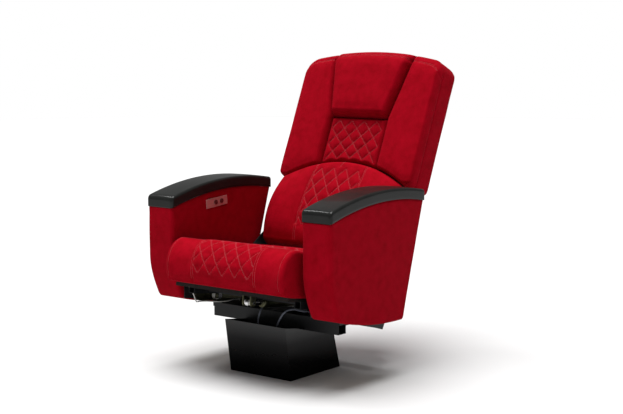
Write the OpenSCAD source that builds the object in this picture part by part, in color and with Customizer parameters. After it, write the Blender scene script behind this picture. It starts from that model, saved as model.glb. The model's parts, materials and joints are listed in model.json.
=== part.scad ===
/* [Overall] */
// Clear width between the two arms
arm_gap_w = 540; // [500:2:580]
// Width of one upholstered arm
arm_w = 113; // [96:1:130]
// Height of the recline pivot above the floor
pivot_z = 440; // [425:1:455]
// Distance of the recline pivot behind the pedestal's centre
pivot_y = 285; // [278:1:300]
// Lean of the back from upright, at rest, in degrees
back_rake = 23.5; // [20:0.5:26]
// Rearward tilt of the seat, in degrees
seat_tilt = 8; // [7:0.5:9]
// Recline travel of the back, in degrees
recline_travel = 20; // [15:1:20]

/* [Pedestal] */
// Width of the pedestal cover
shroud_w = 256; // [246:1:300]
// Depth of the pedestal cover at the floor
shroud_foot_d = 264; // [250:1:300]
// Height of the cover's front edge
shroud_front_h = 178; // [172:1:184]
// Height of the cover's rear edge
shroud_rear_h = 140; // [130:1:146]
// How far the cover's front leans forward at its top
shroud_front_lean = 28; // [10:1:40]
// How far the cover's rear leans forward at its top
shroud_rear_lean = 40; // [20:1:46]
// Sheet thickness of the cover
shroud_wall = 2; // [1.5:0.5:4]
// Width of the floor plate
floor_plate_w = 236; // [220:1:240]
// Depth of the floor plate
floor_plate_d = 244; // [224:1:246]
// Thickness of the floor plate
floor_plate_t = 8; // [6:1:12]
// Distance between floor bolt holes across the seat
floor_hole_span_x = 180; // [150:1:190]
// Distance between floor bolt holes along the seat
floor_hole_span_y = 190; // [170:1:200]
// Diameter of the floor bolt holes
floor_hole_d = 14; // [9:0.5:16]
// Outer size of the square column
column_w = 110; // [90:1:116]
// Wall of the column
column_wall = 4; // [3:0.5:6]
// Thickness of the head plate
head_plate_t = 8; // [6:1:12]
// Width of the head plate
head_plate_w = 236; // [210:1:240]
// Depth of the head plate
head_plate_d = 180; // [170:1:190]
// Distance of the head plate's centre ahead of the pedestal's centre
head_plate_fwd = 10; // [0:1:14]

/* [Base frame] */
// Height of the frame's underside above the floor
frame_z = 157; // [155:1:160]
// Depth of the frame tubes
rail_w = 40; // [34:1:40]
// Height of the frame tubes
rail_h = 47; // [42:1:50]
// Wall of the frame tubes
rail_wall = 3; // [2:0.5:4]
// Distance of the front rail's front face ahead of the pedestal's centre
front_rail_fwd = 60; // [56:1:66]
// Distance of the rear rail's front face behind the pedestal's centre
rear_rail_y = 150; // [146:1:156]
// Depth of the rear rail
rear_rail_d = 32; // [26:1:36]
// Height of the rear rail's underside above the floor
rear_rail_z = 146; // [142:1:150]
// Height of the rear rail's section
rear_rail_h = 30; // [26:1:34]
// Distance of the two beams from the middle
beam_x = 96; // [94:1:98]
// Thickness of the side plates
side_plate_t = 4; // [3:0.5:5]

/* [Arms] */
// Distance of the arm's front ahead of the pedestal's centre
arm_front = 256; // [246:1:266]
// Distance of the arm's lower rear corner behind the pedestal's centre
arm_rear_low = 139; // [130:1:146]
// Distance of the arm's upper rear corner behind the pedestal's centre
arm_rear_high = 250; // [240:1:254]
// Lowest height of the arm's underside
arm_low_z = 193; // [186:1:200]
// Place of the lowest point behind the pedestal's centre
arm_low_y = 110; // [100:1:120]
// Radius of the curved underside
arm_low_r = 1174; // [1000:10:1400]
// How far the arm's toe is cut back at its lowest point
toe_depth = 46; // [30:1:56]
// Height at which the toe starts to curve back
toe_z = 380; // [360:1:400]
// Thickness of the arm's padding
arm_pad_t = 12; // [8:1:16]
// Radius of the arm's front corners seen from above
arm_nose_r = 26; // [18:1:34]
// Radius of the arm's rear corners seen from above
arm_tail_r = 11; // [6:1:16]
// Outward crown of the arm's outer face
arm_crown = 4; // [0:0.5:8]
// Wall of the plywood core
core_wall = 15; // [10:1:20]
// Thickness of the core's inner panel
core_panel = 9; // [6:1:12]

/* [Arm caps] */
// Highest point of the cap above the floor
cap_peak_z = 625.5; // [610:0.5:640]
// Place of the highest point behind the pedestal's centre
cap_peak_y = 55; // [40:1:70]
// Radius of the cap's long curve
cap_arc_r = 1100; // [950:10:1300]
// Height of the cap's side
cap_t = 37; // [30:1:42]
// Overhang of the cap past the padding on each side
cap_lip = 2; // [0.5:0.5:2.5]
// Rounding of the cap's front edge
cap_front_r = 13; // [6:1:18]
// Rounding of the cap's long edges
cap_edge_r = 9; // [4:1:14]

/* [Seat] */
// Width of the seat cushion
seat_w = 490; // [476:1:494]
// Thickness of the seat cushion at its crown
seat_crown_h = 146; // [136:1:156]
// Thickness of the seat cushion at its rear
seat_rear_h = 131; // [122:1:142]
// Distance of the cushion's front corner ahead of the pedestal's centre, along the seat
seat_front_u = 306; // [296:1:312]
// Distance of the cushion's rear behind the pedestal's centre, along the seat
seat_rear_u = 142; // [130:1:146]
// Height of the seat board's top above the floor over the pedestal's centre
seat_base_z = 268.4; // [266:0.2:272]
// How far the waterfall front bulges past its lower corner
seat_nose = 25; // [14:1:34]
// Half width of the quilted insert
insert_half_w = 130; // [117:1:143]
// Thickness of the seat board
seat_board_t = 12; // [9:1:15]
// Outer size of the seat frame tube
seat_tube_w = 25; // [20:1:26]
// Wall of the seat frame tubes
seat_tube_wall = 2; // [1.5:0.5:3]
// Diameter of the track rollers
roller_d = 28; // [24:1:30]
// Width of the track rollers
roller_w = 13; // [10:1:14]
// Diameter of the roller axles
roller_axle_d = 10; // [8:0.5:12]
// Wall of the track channel
track_wall = 3; // [2:0.5:3.5]

/* [Back] */
// Half width of the back across its wings
wing_half_w = 287; // [275:1:296]
// Half width of the back between the arms
waist_half_w = 252; // [244:1:253]
// Height of the crest above the pivot, along the back
crest_w = 655; // [630:1:690]
// Drop of the crest towards the corners
crest_drop = 33; // [20:1:50]
// Height of the wings' lower end above the pivot, along the back
wing_low_w = 165; // [158:1:175]
// Depth of the rear cover's back face behind the pivot
cover_rear_t = 77; // [66:1:82]
// Wall of the rear cover
cover_wall = 12; // [8:1:12]
// Thickness of the back board
back_board_t = 12; // [9:1:12]
// Distance of the board's front face ahead of the pivot
board_front_t = 8; // [6:1:10]
// Depth of the wings ahead of the board
wing_depth = 38; // [30:1:44]
// Depth of the head bolster ahead of the board
bolster_depth = 54; // [44:1:64]
// Depth of the quilted panel ahead of the board
panel_depth = 26; // [18:1:32]
// Depth of the lumbar cushion ahead of the board
lumbar_depth = 92; // [80:1:96]
// Half width of the centre panels at their lower end
centre_half_low = 121; // [110:1:130]
// Half width of the centre panels at the top
centre_half_top = 162; // [150:1:170]
// Height of the head bolster's lower edge above the pivot
bolster_low_w = 403; // [390:1:420]
// Height of the lumbar arc's middle above the pivot
lumbar_top_w = 235; // [228:1:245]
// Distance of the lumbar cushion's lower end below the pivot
lumbar_low_w = 100; // [90:1:104]
// Outer size of the back frame tube
back_tube_w = 25; // [20:1:26]

/* [Recline linkage] */
// Distance from the pivot to the push bar
push_arm_r = 220; // [210:1:222]
// Diameter of the pivot pins
pivot_d = 20; // [16:1:22]
// Thickness of the recliner arms
recliner_t = 6; // [5:0.5:7]
// Diameter of the push bar
push_bar_d = 16; // [14:1:18]
// Diameter of the sleeves on the push bar
push_bush_d = 22; // [20:1:24]
// Thickness of the slotted drag arms
drag_t = 6; // [5:0.5:8]
// Running clearance on a radius
run_gap = 0.05; // [0.02:0.01:0.1]
// Play in the slots and tracks
play = 0.3; // [0.2:0.05:0.4]

/* [Actuator] */
// Diameter of the actuator's outer tube
actuator_tube_d = 34; // [30:1:36]
// Diameter of the actuator's rod
actuator_rod_d = 20; // [16:1:22]
// Diameter of the motor
motor_d = 44; // [38:1:46]
// Length of the motor
motor_l = 70; // [60:1:76]
// Diameter of the clevis pins
clevis_pin_d = 10; // [8:0.5:12]
// Diameter of the pale clevis bushes
clevis_bush_d = 18; // [16:1:20]

/* [Switch] */
// Length of the switch plate
switch_l = 106; // [96:1:116]
// Height of the switch plate
switch_h = 31; // [28:1:34]
// Thickness of the switch plate
switch_t = 2; // [1.5:0.5:3]
// Diameter of the buttons
button_d = 16; // [13:0.5:17]
// Distance between the buttons
button_pitch = 29; // [24:1:32]
// Travel of the buttons
button_travel = 1.5; // [1:0.1:2]

/* [Hidden] */

// Overrun of every cut past the face it cuts
over = 1;
// Gap that keeps curved neighbours from touching
seat_gap = 0.3;
// Facets of round pieces
round_n = 48;
// Points of padded and swept forms lie on this grain
grain = 0.001;
// Padded forms stop this far off their boards
pad_clear = 3 * grain;

// Colours of the finishes
red = "#9c1224";
black = "#1c1d1f";
steel = "#8f9296";
ply = "#c8a878";
pale = "#e4e2dc";

function mix(a, b, k) = a + (b - a) * k;
function edge(d, r) = d >= r ? 1 : sqrt(max(0, 1 - (1 - d / r) ^ 2));
function steps(r0, r1, len, n_edge, n_mid) = concat(
  [for (k = [0:n_edge - 1]) r0 * (1 - cos(90 * k / n_edge))],
  [for (k = [0:n_mid]) mix(r0, len - r1, k / n_mid)],
  [for (k = [n_edge - 1:-1:0]) len - r1 * (1 - cos(90 * k / n_edge))]
);

// Closed skin through a list of rings that all hold the same number of points
module skin(rings, loop = false) {
  m = len(rings);
  n = len(rings[0]);
  spans = loop ? m : m - 1;
  points = concat(
    [for (ring = rings) each ring],
    loop ? [] : [middle(rings[0]), middle(rings[m - 1])]
  );
  sides = [
    for (i = [0:spans - 1], j = [0:n - 1])
      let (a = i * n + j, b = i * n + (j + 1) % n, k = (i + 1) % m)
      each [[a, k * n + j, k * n + (j + 1) % n], [a, k * n + (j + 1) % n, b]]
  ];
  ends = loop ? [] : [
    for (j = [0:n - 1])
      let (k = (j + 1) % n)
      each [[m * n, j, k], [m * n + 1, (m - 1) * n + k, (m - 1) * n + j]]
  ];
  polyhedron([for (p = points) snapped(p)], concat(sides, ends));
}
function snapped(p) = [for (v = p) round(v / grain) * grain];
function middle(ring) = [for (a = [0:2]) sum([for (p = ring) p[a]]) / len(ring)];
function sum(v, i = 0) = i >= len(v) ? 0 : v[i] + sum(v, i + 1);

// Padded form on the leaning back, with a shaped front grid and a flat back
module pillow(grid) {
  m = len(grid);
  n = len(grid[0]);
  points = [for (column = grid, p = column) on_back(p - [0, pad_clear, 0])];
  rim = concat(
    [for (i = [0:m - 2]) i * n],
    [for (j = [0:n - 2]) (m - 1) * n + j],
    [for (i = [m - 1:-1:1]) i * n + n - 1],
    [for (j = [n - 1:-1:1]) j]
  );
  front = [
    for (i = [0:m - 2], j = [0:n - 2])
      let (a = i * n + j, b = a + n)
      each [[a, a + 1, b + 1], [a, b + 1, b]]
  ];
  back = [for (k = [0:len(rim) - 1]) [m * n, rim[k], rim[(k + 1) % len(rim)]]];
  centre = middle([for (k = rim) points[k]]);
  polyhedron([for (p = concat(points, [centre])) snapped(p)], concat(back, front));
}

// Depth of a stitched groove at the nodes of a diamond grid
function stitch(i, j, pitch) = ((i + j) % pitch == 0 || (i - j + 1000 * pitch) % pitch == 0) ? 1 : 0;

// Frames of reference of the tilted seat and the leaning back, for pieces and for the points of padded forms
function on_seat(p) = [
  p[0],
  p[1] * cos(seat_tilt) + p[2] * sin(seat_tilt),
  seat_base_z - p[1] * sin(seat_tilt) + p[2] * cos(seat_tilt)
];
function on_back(p) = [
  p[0],
  pivot_y + p[1] * cos(back_rake) + p[2] * sin(back_rake),
  pivot_z - p[1] * sin(back_rake) + p[2] * cos(back_rake)
];
module along_seat() {
  translate([0, 0, seat_base_z])
    rotate([-seat_tilt, 0, 0])
      children();
}
module along_back() {
  translate([0, pivot_y, pivot_z])
    rotate([-back_rake, 0, 0])
      children();
}

// Square tube of length l along X, with its corner at the origin
module tube_x(l, d, h, wall) {
  difference() {
    cube([l, d, h]);
    translate([-over, wall, wall])
      cube([l + 2 * over, d - 2 * wall, h - 2 * wall]);
  }
}
module tube_y(w, l, h, wall) {
  difference() {
    cube([w, l, h]);
    translate([wall, -over, wall])
      cube([w - 2 * wall, l + 2 * over, h - 2 * wall]);
  }
}
// Round bar along X between two planes
module bar_x(x0, x1, r) {
  translate([x0, 0, 0])
    rotate([0, 90, 0])
      cylinder(h = x1 - x0, r = r, $fn = round_n);
}
module both_sides() {
  children();
  mirror([1, 0, 0])
    children();
}

// Derived places of the frame
plate_in_x = arm_gap_w / 2 - side_plate_t;
head_plate_z = frame_z - head_plate_t;
cable_hole_y = 95;
cable_hole_r = 17;
grommet_lip = 4;
grommet_wall = 5;
grommet_r = cable_hole_r - grommet_wall;

module floor_plate() {
  color(black)
    difference() {
      translate([-floor_plate_w / 2, -floor_plate_d / 2, 0])
        cube([floor_plate_w, floor_plate_d, floor_plate_t]);
      for (x = [-1, 1], y = [-1, 1])
        translate([x * floor_hole_span_x / 2, y * floor_hole_span_y / 2, -over])
          cylinder(h = floor_plate_t + 2 * over, d = floor_hole_d, $fn = round_n);
      translate([0, -cable_hole_y, -over])
        cylinder(h = floor_plate_t + 2 * over, r = cable_hole_r, $fn = round_n);
    }
}

module cable_grommet() {
  color("#111111")
    translate([0, -cable_hole_y, 0])
      difference() {
        union() {
          cylinder(h = floor_plate_t, r = cable_hole_r, $fn = round_n);
          translate([0, 0, floor_plate_t])
            cylinder(h = grommet_lip, r = cable_hole_r + grommet_lip, $fn = round_n);
        }
        translate([0, 0, -over])
          cylinder(h = floor_plate_t + grommet_lip + 2 * over, r = grommet_r, $fn = round_n);
      }
}

module column() {
  color(black)
    translate([0, 0, floor_plate_t])
      linear_extrude(head_plate_z - floor_plate_t)
        difference() {
          square(column_w, center = true);
          square(column_w - 2 * column_wall, center = true);
        }
}

// Side outline of the pedestal cover, moved inward by e and raised past its top by up
function shroud_side(e, up) = let (
  half = shroud_foot_d / 2,
  front_k = shroud_front_lean / shroud_front_h,
  rear_k = shroud_rear_lean / shroud_rear_h
) [
  [-half + e, -up],
  [half - e, -up],
  [half - shroud_rear_lean - e - rear_k * up, shroud_rear_h + up],
  [-half - shroud_front_lean + e - front_k * up, shroud_front_h + up]
];

module shroud() {
  color("#08090a")
    difference() {
      translate([-shroud_w / 2, 0, 0])
        rotate([90, 0, 90])
          linear_extrude(shroud_w)
            polygon(shroud_side(0, 0));
      translate([-shroud_w / 2 + shroud_wall, 0, 0])
        rotate([90, 0, 90])
          linear_extrude(shroud_w - 2 * shroud_wall)
            polygon(shroud_side(shroud_wall, over));
      translate([-shroud_w / 2 - over, -front_rail_fwd - play, frame_z - play])
        cube([shroud_w + 2 * over, rail_w + 2 * play, rail_h]);
    }
}

module head_plate() {
  color(black)
    translate([-head_plate_w / 2, -head_plate_fwd - head_plate_d / 2, head_plate_z])
      cube([head_plate_w, head_plate_d, head_plate_t]);
}

module front_rail() {
  color(black)
    translate([-plate_in_x, -front_rail_fwd, frame_z])
      tube_x(2 * plate_in_x, rail_w, rail_h, rail_wall);
}

module rear_rail() {
  color(black)
    translate([-plate_in_x, rear_rail_y, rear_rail_z])
      tube_x(2 * plate_in_x, rear_rail_d, rear_rail_h, rail_wall);
}

module beams() {
  front_y = rail_w - front_rail_fwd;
  color(black)
    for (x = [-beam_x, beam_x])
      translate([x - rail_w / 2, front_y, frame_z])
        tube_y(rail_w, rear_rail_y - front_y, rail_h, rail_wall);
}

// Side plate outline: the lug on the front rail's end, the tail over the rear rail, the pivot ear
plate_lug_up = 32;
plate_edge_up = 39;
plate_edge_back = 3;
plate_tail_drop = 9;
plate_tail_back = 6;
plate_front_y = 205;
plate_mid_z = 300;
plate_mid_y = 60;
plate_shoulder_y = 150;
plate_shoulder_z = 380;
plate_lift = 3;
ear_r = 24;
arm_bolt_d = 8;
arm_bolt_head_t = 5;
arm_bolt_head_r = 6.5;
washer_r = 23;
arm_bolt_z = 272;
arm_bolt_ys = [-150, 0, 120];

function plate_outline() = [
  [-front_rail_fwd, frame_z + plate_lug_up],
  [rail_w - front_rail_fwd, frame_z + plate_lug_up],
  [rail_w - front_rail_fwd + plate_edge_back, frame_z + plate_edge_up],
  [rear_rail_y + rear_rail_d - plate_tail_back / 2, rear_rail_z - plate_tail_drop],
  [rear_rail_y + rear_rail_d + plate_tail_back, rear_rail_z + plate_tail_back],
  [pivot_y - ear_r, (rear_rail_z + pivot_z) / 2 + ear_r],
  [pivot_y + ear_r * cos(20), pivot_z - ear_r * sin(20)],
  [pivot_y - ear_r * cos(60), pivot_z + ear_r * sin(60)],
  [plate_shoulder_y, plate_shoulder_z],
  [plate_mid_y, plate_mid_z],
  [-plate_front_y, plate_mid_z],
  [-plate_front_y, arm_under(-plate_front_y) + plate_lift],
  [-front_rail_fwd, arm_under(-front_rail_fwd) + plate_lift]
];

module side_plate() {
  difference() {
    translate([plate_in_x, 0, 0])
      rotate([90, 0, 90])
        linear_extrude(side_plate_t) {
          polygon(plate_outline());
          translate([pivot_y, pivot_z])
            circle(r = ear_r, $fn = round_n);
        }
    translate([0, pivot_y, pivot_z])
      bar_x(plate_in_x - over, plate_in_x + side_plate_t + over, pivot_d / 2);
    for (y = arm_bolt_ys)
      translate([0, y, arm_bolt_z])
        bar_x(plate_in_x - over, plate_in_x + side_plate_t + over, arm_bolt_d / 2 + run_gap);
  }
}
module side_plate_left() {
  color(black)
    side_plate();
}
module side_plate_right() {
  color(black)
    mirror([1, 0, 0])
      side_plate();
}

module arm_bolts() {
  grip = side_plate_t + arm_pad_t + core_panel;
  color(steel)
    both_sides()
      for (y = arm_bolt_ys)
        translate([0, y, arm_bolt_z]) {
          bar_x(plate_in_x - arm_bolt_head_t, plate_in_x, arm_bolt_head_r);
          bar_x(plate_in_x, plate_in_x + grip, arm_bolt_d / 2);
        }
}

module pivot_pins() {
  color(steel)
    both_sides()
      translate([0, pivot_y, pivot_z])
        bar_x(waist_half_w + play, plate_in_x + side_plate_t, pivot_d / 2);
}

module pivot_washers() {
  color(pale)
    both_sides()
      translate([0, pivot_y, pivot_z])
        difference() {
          bar_x(waist_half_w + recliner_t + 2 * run_gap, plate_in_x, washer_r);
          bar_x(waist_half_w, plate_in_x + over, pivot_d / 2 + run_gap);
        }
}

// Tracks and rollers, in the seat's own tilted frame
axle_head_share = 2;
track_h = roller_d + 2 * play + 2 * track_wall;
track_v = -(seat_board_t + seat_tube_w + play + axle_head_share * roller_axle_d / 2);
track_under = 5;
track_in_x = seat_w / 2 - track_under;
track_front_u = 155;
track_rear_u = 125;
front_roller_u = 60;
rear_roller_u = 106;

module track() {
  track_d = plate_in_x - track_in_x;
  along_seat()
    translate([track_in_x, -track_front_u, track_v - track_h / 2])
      difference() {
        cube([track_d, track_front_u + track_rear_u, track_h]);
        translate([-over, -over, track_wall])
          cube([
            track_d - track_wall + over,
            track_front_u + track_rear_u + 2 * over,
            track_h - 2 * track_wall
          ]);
      }
}
module tracks() {
  color(steel)
    both_sides()
      track();
}

// Arm outline: curved underside, cut back toe, leaning rear edge, top under the cap
function arm_under(y) = arm_low_z + (y - arm_low_y) ^ 2 / (2 * arm_low_r);
function cap_top(y) = cap_peak_z - cap_arc_r + sqrt(cap_arc_r ^ 2 - (y - cap_peak_y) ^ 2);
function arm_over(y) = cap_top(y) - cap_t;
toe_low_z = arm_under(toe_depth - arm_front);
function arm_front_y(z) =
  -arm_front + (z < toe_z ? toe_depth * ((toe_z - z) / (toe_z - toe_low_z)) ^ 2 : 0);
function arm_rear_y(z) =
  mix(arm_rear_low, arm_rear_high, (z - arm_low_z) / (arm_over(arm_rear_high) - arm_low_z));

function arm_plan(half, y0, y1, r0, r1, n_corner) = let (
  n_side = 4,
  nose = [for (k = [0:n_corner]) let (a = 90 * k / n_corner - 90)
    [half - r0 + r0 * cos(a), y0 + r0 + r0 * sin(a)]],
  side = [for (k = [1:n_side - 1]) [half, mix(y0 + r0, y1 - r1, k / n_side)]],
  tail = [for (k = [0:n_corner]) let (a = 90 * k / n_corner)
    [half - r1 + r1 * cos(a), y1 - r1 + r1 * sin(a)]],
  right = concat(nose, side, tail)
) concat(right, [for (k = [len(right) - 1:-1:0]) [-right[k][0], right[k][1]]]);

// One level of the arm: s runs from the underside to the top, e is the inset
function arm_ring(s, e, r0, r1, crown, n_corner) = let (
  z0 = mix(toe_low_z, arm_over(-arm_front), s),
  z1 = mix(arm_under(arm_rear_low), arm_over(arm_rear_high), s),
  y0 = arm_front_y(z0) + e,
  y1 = arm_rear_y(z1) - e
) [
  for (p = arm_plan(arm_w / 2 - e, y0, y1, r0, r1, n_corner))
    let (
      bulge = p[0] > 0 ? crown * sin(180 * s) * sin(180 * (p[1] - y0) / (y1 - y0)) : 0
    )
    [p[0] + bulge, p[1], mix(arm_under(p[1]), arm_over(p[1]), s)]
];
arm_centre_x = (arm_gap_w + arm_w) / 2;
arm_corner_n = 5;
hem_r = 6;
hem_share = 0.008;
side_share = 0.025;
core_corner_r = 1;
arm_levels = 11;

module arm_padding() {
  outer = concat(
    [arm_ring(0, hem_r, arm_nose_r - hem_r, arm_tail_r - hem_r, 0, arm_corner_n)],
    [arm_ring(hem_share, hem_r / 4, arm_nose_r, arm_tail_r, 0, arm_corner_n)],
    [for (k = [0:arm_levels]) arm_ring(mix(side_share, 1, k / arm_levels), 0, arm_nose_r, arm_tail_r,
      arm_crown, arm_corner_n)]
  );
  inner = [for (k = [core_levels:-1:0])
    arm_ring(k / core_levels, arm_pad_t, core_corner_r, core_corner_r, 0, arm_corner_n)];
  translate([arm_centre_x, 0, 0])
    difference() {
      skin(concat(outer, inner), loop = true);
      for (y = arm_bolt_ys)
        translate([0, y, arm_bolt_z])
          bar_x(-arm_w, 0, arm_bolt_d / 2 + run_gap);
    }
}
module arm_pad_left() {
  color(red)
    arm_padding();
}
module arm_pad_right() {
  color(red)
    difference() {
      mirror([1, 0, 0])
        arm_padding();
      switch_place()
        translate([-arm_w / 2, -switch_box_l / 2 - play, -switch_box_h / 2 - play])
          cube([arm_w / 2 + over, switch_box_l + 2 * play, switch_box_h + 2 * play]);
    }
}

// Side outline of the plywood core at the padding's own levels, e in from the ends and lift from the edges
core_n = 8;
core_levels = 4;
function level_point(s, y) = [y, mix(arm_under(y), arm_over(y), s)];
function front_end(s, e) = level_point(s, arm_front_y(mix(toe_low_z, arm_over(-arm_front), s)) + e);
function rear_end(s, e) =
  level_point(s, arm_rear_y(mix(arm_under(arm_rear_low), arm_over(arm_rear_high), s)) - e);
function core_outline(e, lift) = concat(
  [for (k = [0:core_n]) let (y = mix(front_end(0, e)[0], rear_end(0, e)[0], k / core_n))
    [y, arm_under(y) + lift]],
  [for (k = [1:core_levels - 1]) rear_end(k / core_levels, e)],
  [for (k = [0:core_n]) let (y = mix(rear_end(1, e)[0], front_end(1, e)[0], k / core_n))
    [y, arm_over(y) - lift]],
  [for (k = [core_levels - 1:-1:1]) front_end(k / core_levels, e)]
);

module arm_core() {
  half = arm_w / 2 - arm_pad_t - 2 * seat_gap;
  translate([arm_centre_x, 0, 0])
    difference() {
      translate([-half, 0, 0])
        rotate([90, 0, 90])
          linear_extrude(2 * half)
            polygon(core_outline(arm_pad_t + 2 * seat_gap, seat_gap));
      translate([core_panel - half, 0, 0])
        rotate([90, 0, 90])
          linear_extrude(2 * half)
            polygon(core_outline(arm_pad_t + core_wall, core_wall));
      for (y = arm_bolt_ys)
        translate([0, y, arm_bolt_z])
          bar_x(-arm_w, core_panel - half + over, arm_bolt_d / 2 + run_gap);
      for (y = cap_screw_ys)
        translate([0, y, arm_over(y) - core_wall - over])
          cylinder(h = core_wall + 2 * over, d = cap_screw_d + 2 * run_gap, $fn = round_n);
    }
}
module arm_core_left() {
  color(ply)
    arm_core();
}
module arm_core_right() {
  color(ply)
    difference() {
      mirror([1, 0, 0])
        arm_core();
      switch_place()
        translate([-arm_w / 2, -switch_box_l / 2 - play, -switch_box_h / 2 - play])
          cube([arm_w / 2 + over, switch_box_l + 2 * play, switch_box_h + 2 * play]);
    }
}

// Screws from the core into the cap
cap_screw_d = 6;
cap_screw_ys = [-190, -60, 80, 200];
cap_screw_bite = 16;
cap_screw_head_t = 4;
cap_screw_head_r = 6;
cap_screw_drop = 2;
module cap_screws() {
  color(steel)
    both_sides()
      for (y = cap_screw_ys)
        translate([arm_centre_x, y, arm_over(y) - core_wall - cap_screw_drop]) {
          cylinder(h = core_wall + cap_screw_drop + cap_screw_bite, d = cap_screw_d, $fn = round_n);
          translate([0, 0, -cap_screw_head_t])
            cylinder(h = cap_screw_head_t, r = cap_screw_head_r, $fn = round_n);
        }
}

// Arm cap: a loft along its length, rounded at the front, the rear and the long top edges
cap_front_lip = 1;
cap_rear_lip = 3;
cap_front_y = arm_front + cap_front_lip;
cap_rear_y = arm_rear_high + cap_rear_lip;
cap_rear_r = 6;
cap_plan_r = 9;
function cap_ring(y, d0, d1) = let (
  end = min(edge(d0, cap_plan_r), edge(d1, cap_rear_r)),
  half = arm_w / 2 + cap_lip - cap_plan_r * (1 - end),
  top = cap_top(y) - cap_front_r * (1 - edge(d0, cap_front_r)) - cap_rear_r * (1 - edge(d1, cap_rear_r)),
  low = arm_over(y) + seat_gap,
  r = cap_edge_r
) [
  [half, y, low],
  [-half, y, low],
  for (a = [0:22.5:90]) [-half + r - r * cos(a), y, top - r + r * sin(a)],
  for (a = [90:-22.5:0]) [half - r + r * cos(a), y, top - r + r * sin(a)]
];
module arm_cap() {
  length = cap_front_y + cap_rear_y;
  translate([arm_centre_x, 0, 0])
    skin([
      for (d = steps(cap_front_r, cap_rear_r, length, 5, 16))
        cap_ring(d - cap_front_y, d, length - d)
    ]);
}
module arm_cap_left() {
  color(black)
    arm_cap();
}
module arm_cap_right() {
  color(black)
    mirror([1, 0, 0])
      arm_cap();
}

// Switch plate, its housing and the two buttons on the inner face of the occupant's right arm
switch_y = -38.5;
switch_z = 545.5;
switch_slope = 4.5;
switch_box_l = 86;
switch_box_h = 23;
switch_box_d = 24;
button_shift = 9;
button_proud = 2;
button_l = 12;
module switch_place() {
  translate([-arm_gap_w / 2, switch_y, switch_z])
    rotate([switch_slope, 0, 0])
      children();
}
module button_holes(depth) {
  for (k = [-1, 1])
    translate([0, button_shift + k * button_pitch / 2, 0])
      bar_x(-depth, switch_t + over, button_d / 2 + 2 * run_gap);
}
module switch_plate() {
  color("#c9a9a4")
    switch_place()
      difference() {
        translate([0, -switch_l / 2, -switch_h / 2])
          cube([switch_t, switch_l, switch_h]);
        button_holes(over);
      }
}
module switch_housing() {
  color(black)
    switch_place()
      difference() {
        translate([-switch_box_d, -switch_box_l / 2, -switch_box_h / 2])
          cube([switch_box_d, switch_box_l, switch_box_h]);
        button_holes(button_l + button_travel + over);
      }
}
module button(k) {
  switch_place()
    translate([0, button_shift + k * button_pitch / 2, 0])
      bar_x(switch_t + button_proud - button_l, switch_t + button_proud, button_d / 2);
}
module button_recline() {
  color("#241a1a")
    button(-1);
}
module button_upright() {
  color("#241a1a")
    button(1);
}

// Seat cushion: side profile swept across the width, quilted over its front edge
nose_back = 44;
nose_up = 62;
side_r = 10;
seat_crown = 5;
quilt_depth = 2.5;
seam_depth = 4;
stitch_pitch = 4;
quilt_top_n = 7;
quilt_nose_n = 9;
quilt_rear_u = 150;
rear_edge_r = 22;
quilt_nose_end = 195;
nose_end = 223;

function seat_top(u) = let (k = (seat_rear_u - u) / (seat_rear_u + seat_front_u - nose_back))
  mix(seat_rear_h, seat_crown_h, k ^ 1.5);
function nose_point(a) = [
  nose_back - seat_front_u + (nose_back + seat_nose) * cos(a),
  nose_up + (seat_crown_h - nose_up) * sin(a)
];
// Each entry: [along the seat, above the board, index in the quilt or -1]
function seat_profile() = concat(
  [for (v = [0, seat_rear_h / 2]) [seat_rear_u, v, -1]],
  [for (a = [0, 45, 90]) [
    seat_rear_u - rear_edge_r + rear_edge_r * cos(a),
    seat_top(seat_rear_u) - rear_edge_r + rear_edge_r * sin(a), -1]],
  [for (k = [1:4]) let (u = mix(seat_rear_u - rear_edge_r, -quilt_rear_u, k / 5))
    [u, seat_top(u), -1]],
  [for (k = [0:quilt_top_n - 1])
    let (u = mix(-quilt_rear_u, nose_back - seat_front_u, k / quilt_top_n)) [u, seat_top(u), k]],
  [for (k = [0:quilt_nose_n])
    let (p = nose_point(mix(90, quilt_nose_end, k / quilt_nose_n))) [p[0], p[1], quilt_top_n + k]],
  [for (k = [1:3]) let (p = nose_point(mix(quilt_nose_end, nose_end, k / 3))) [p[0], max(0, p[1]), -1]],
  [for (k = [1:3]) [mix(-seat_front_u, seat_rear_u, k / 4), 0, -1]]
);
insert_n = 10;
// Stations across the seat: [place, index in the insert or none]
seat_stations = concat(
  [for (d = [0, side_r / 4, side_r, 6 * side_r]) [d - seat_w / 2, undef]],
  [for (i = [-insert_n:insert_n]) [insert_half_w * i / insert_n, i]],
  [for (d = [6 * side_r, side_r, side_r / 4, 0]) [seat_w / 2 - d, undef]]
);
function groove(i, j) =
  i == undef || j < 0 ? 0
  : abs(i) == insert_n ? seam_depth
  : quilt_depth * stitch(i, j, stitch_pitch);
function seat_ring(station) = let (
  x = station[0],
  e = side_r * (1 - edge(seat_w / 2 - abs(x), side_r)),
  crown = seat_crown * (1 - (2 * x / seat_w) ^ 2),
  mid_u = (seat_rear_u - seat_front_u) / 2,
  mid_v = seat_crown_h / 2
) [
  for (p = seat_profile())
    let (
      away = [p[0] - mid_u, p[1] - mid_v],
      g = groove(station[1], p[2]),
      k = 1 - g / norm(away),
      u = mid_u + away[0] * k * (1 - e / (seat_rear_u + seat_front_u) * 2),
      v = (mid_v + away[1] * k) * (1 - e / seat_crown_h) + crown * p[1] / seat_crown_h
    )
    [x, u, p[1] == 0 ? 0 : v]
];
module seat_cushion() {
  color(red)
    skin([for (station = seat_stations) [for (p = seat_ring(station)) on_seat(p + [0, 0, pad_clear])]]);
}

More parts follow.
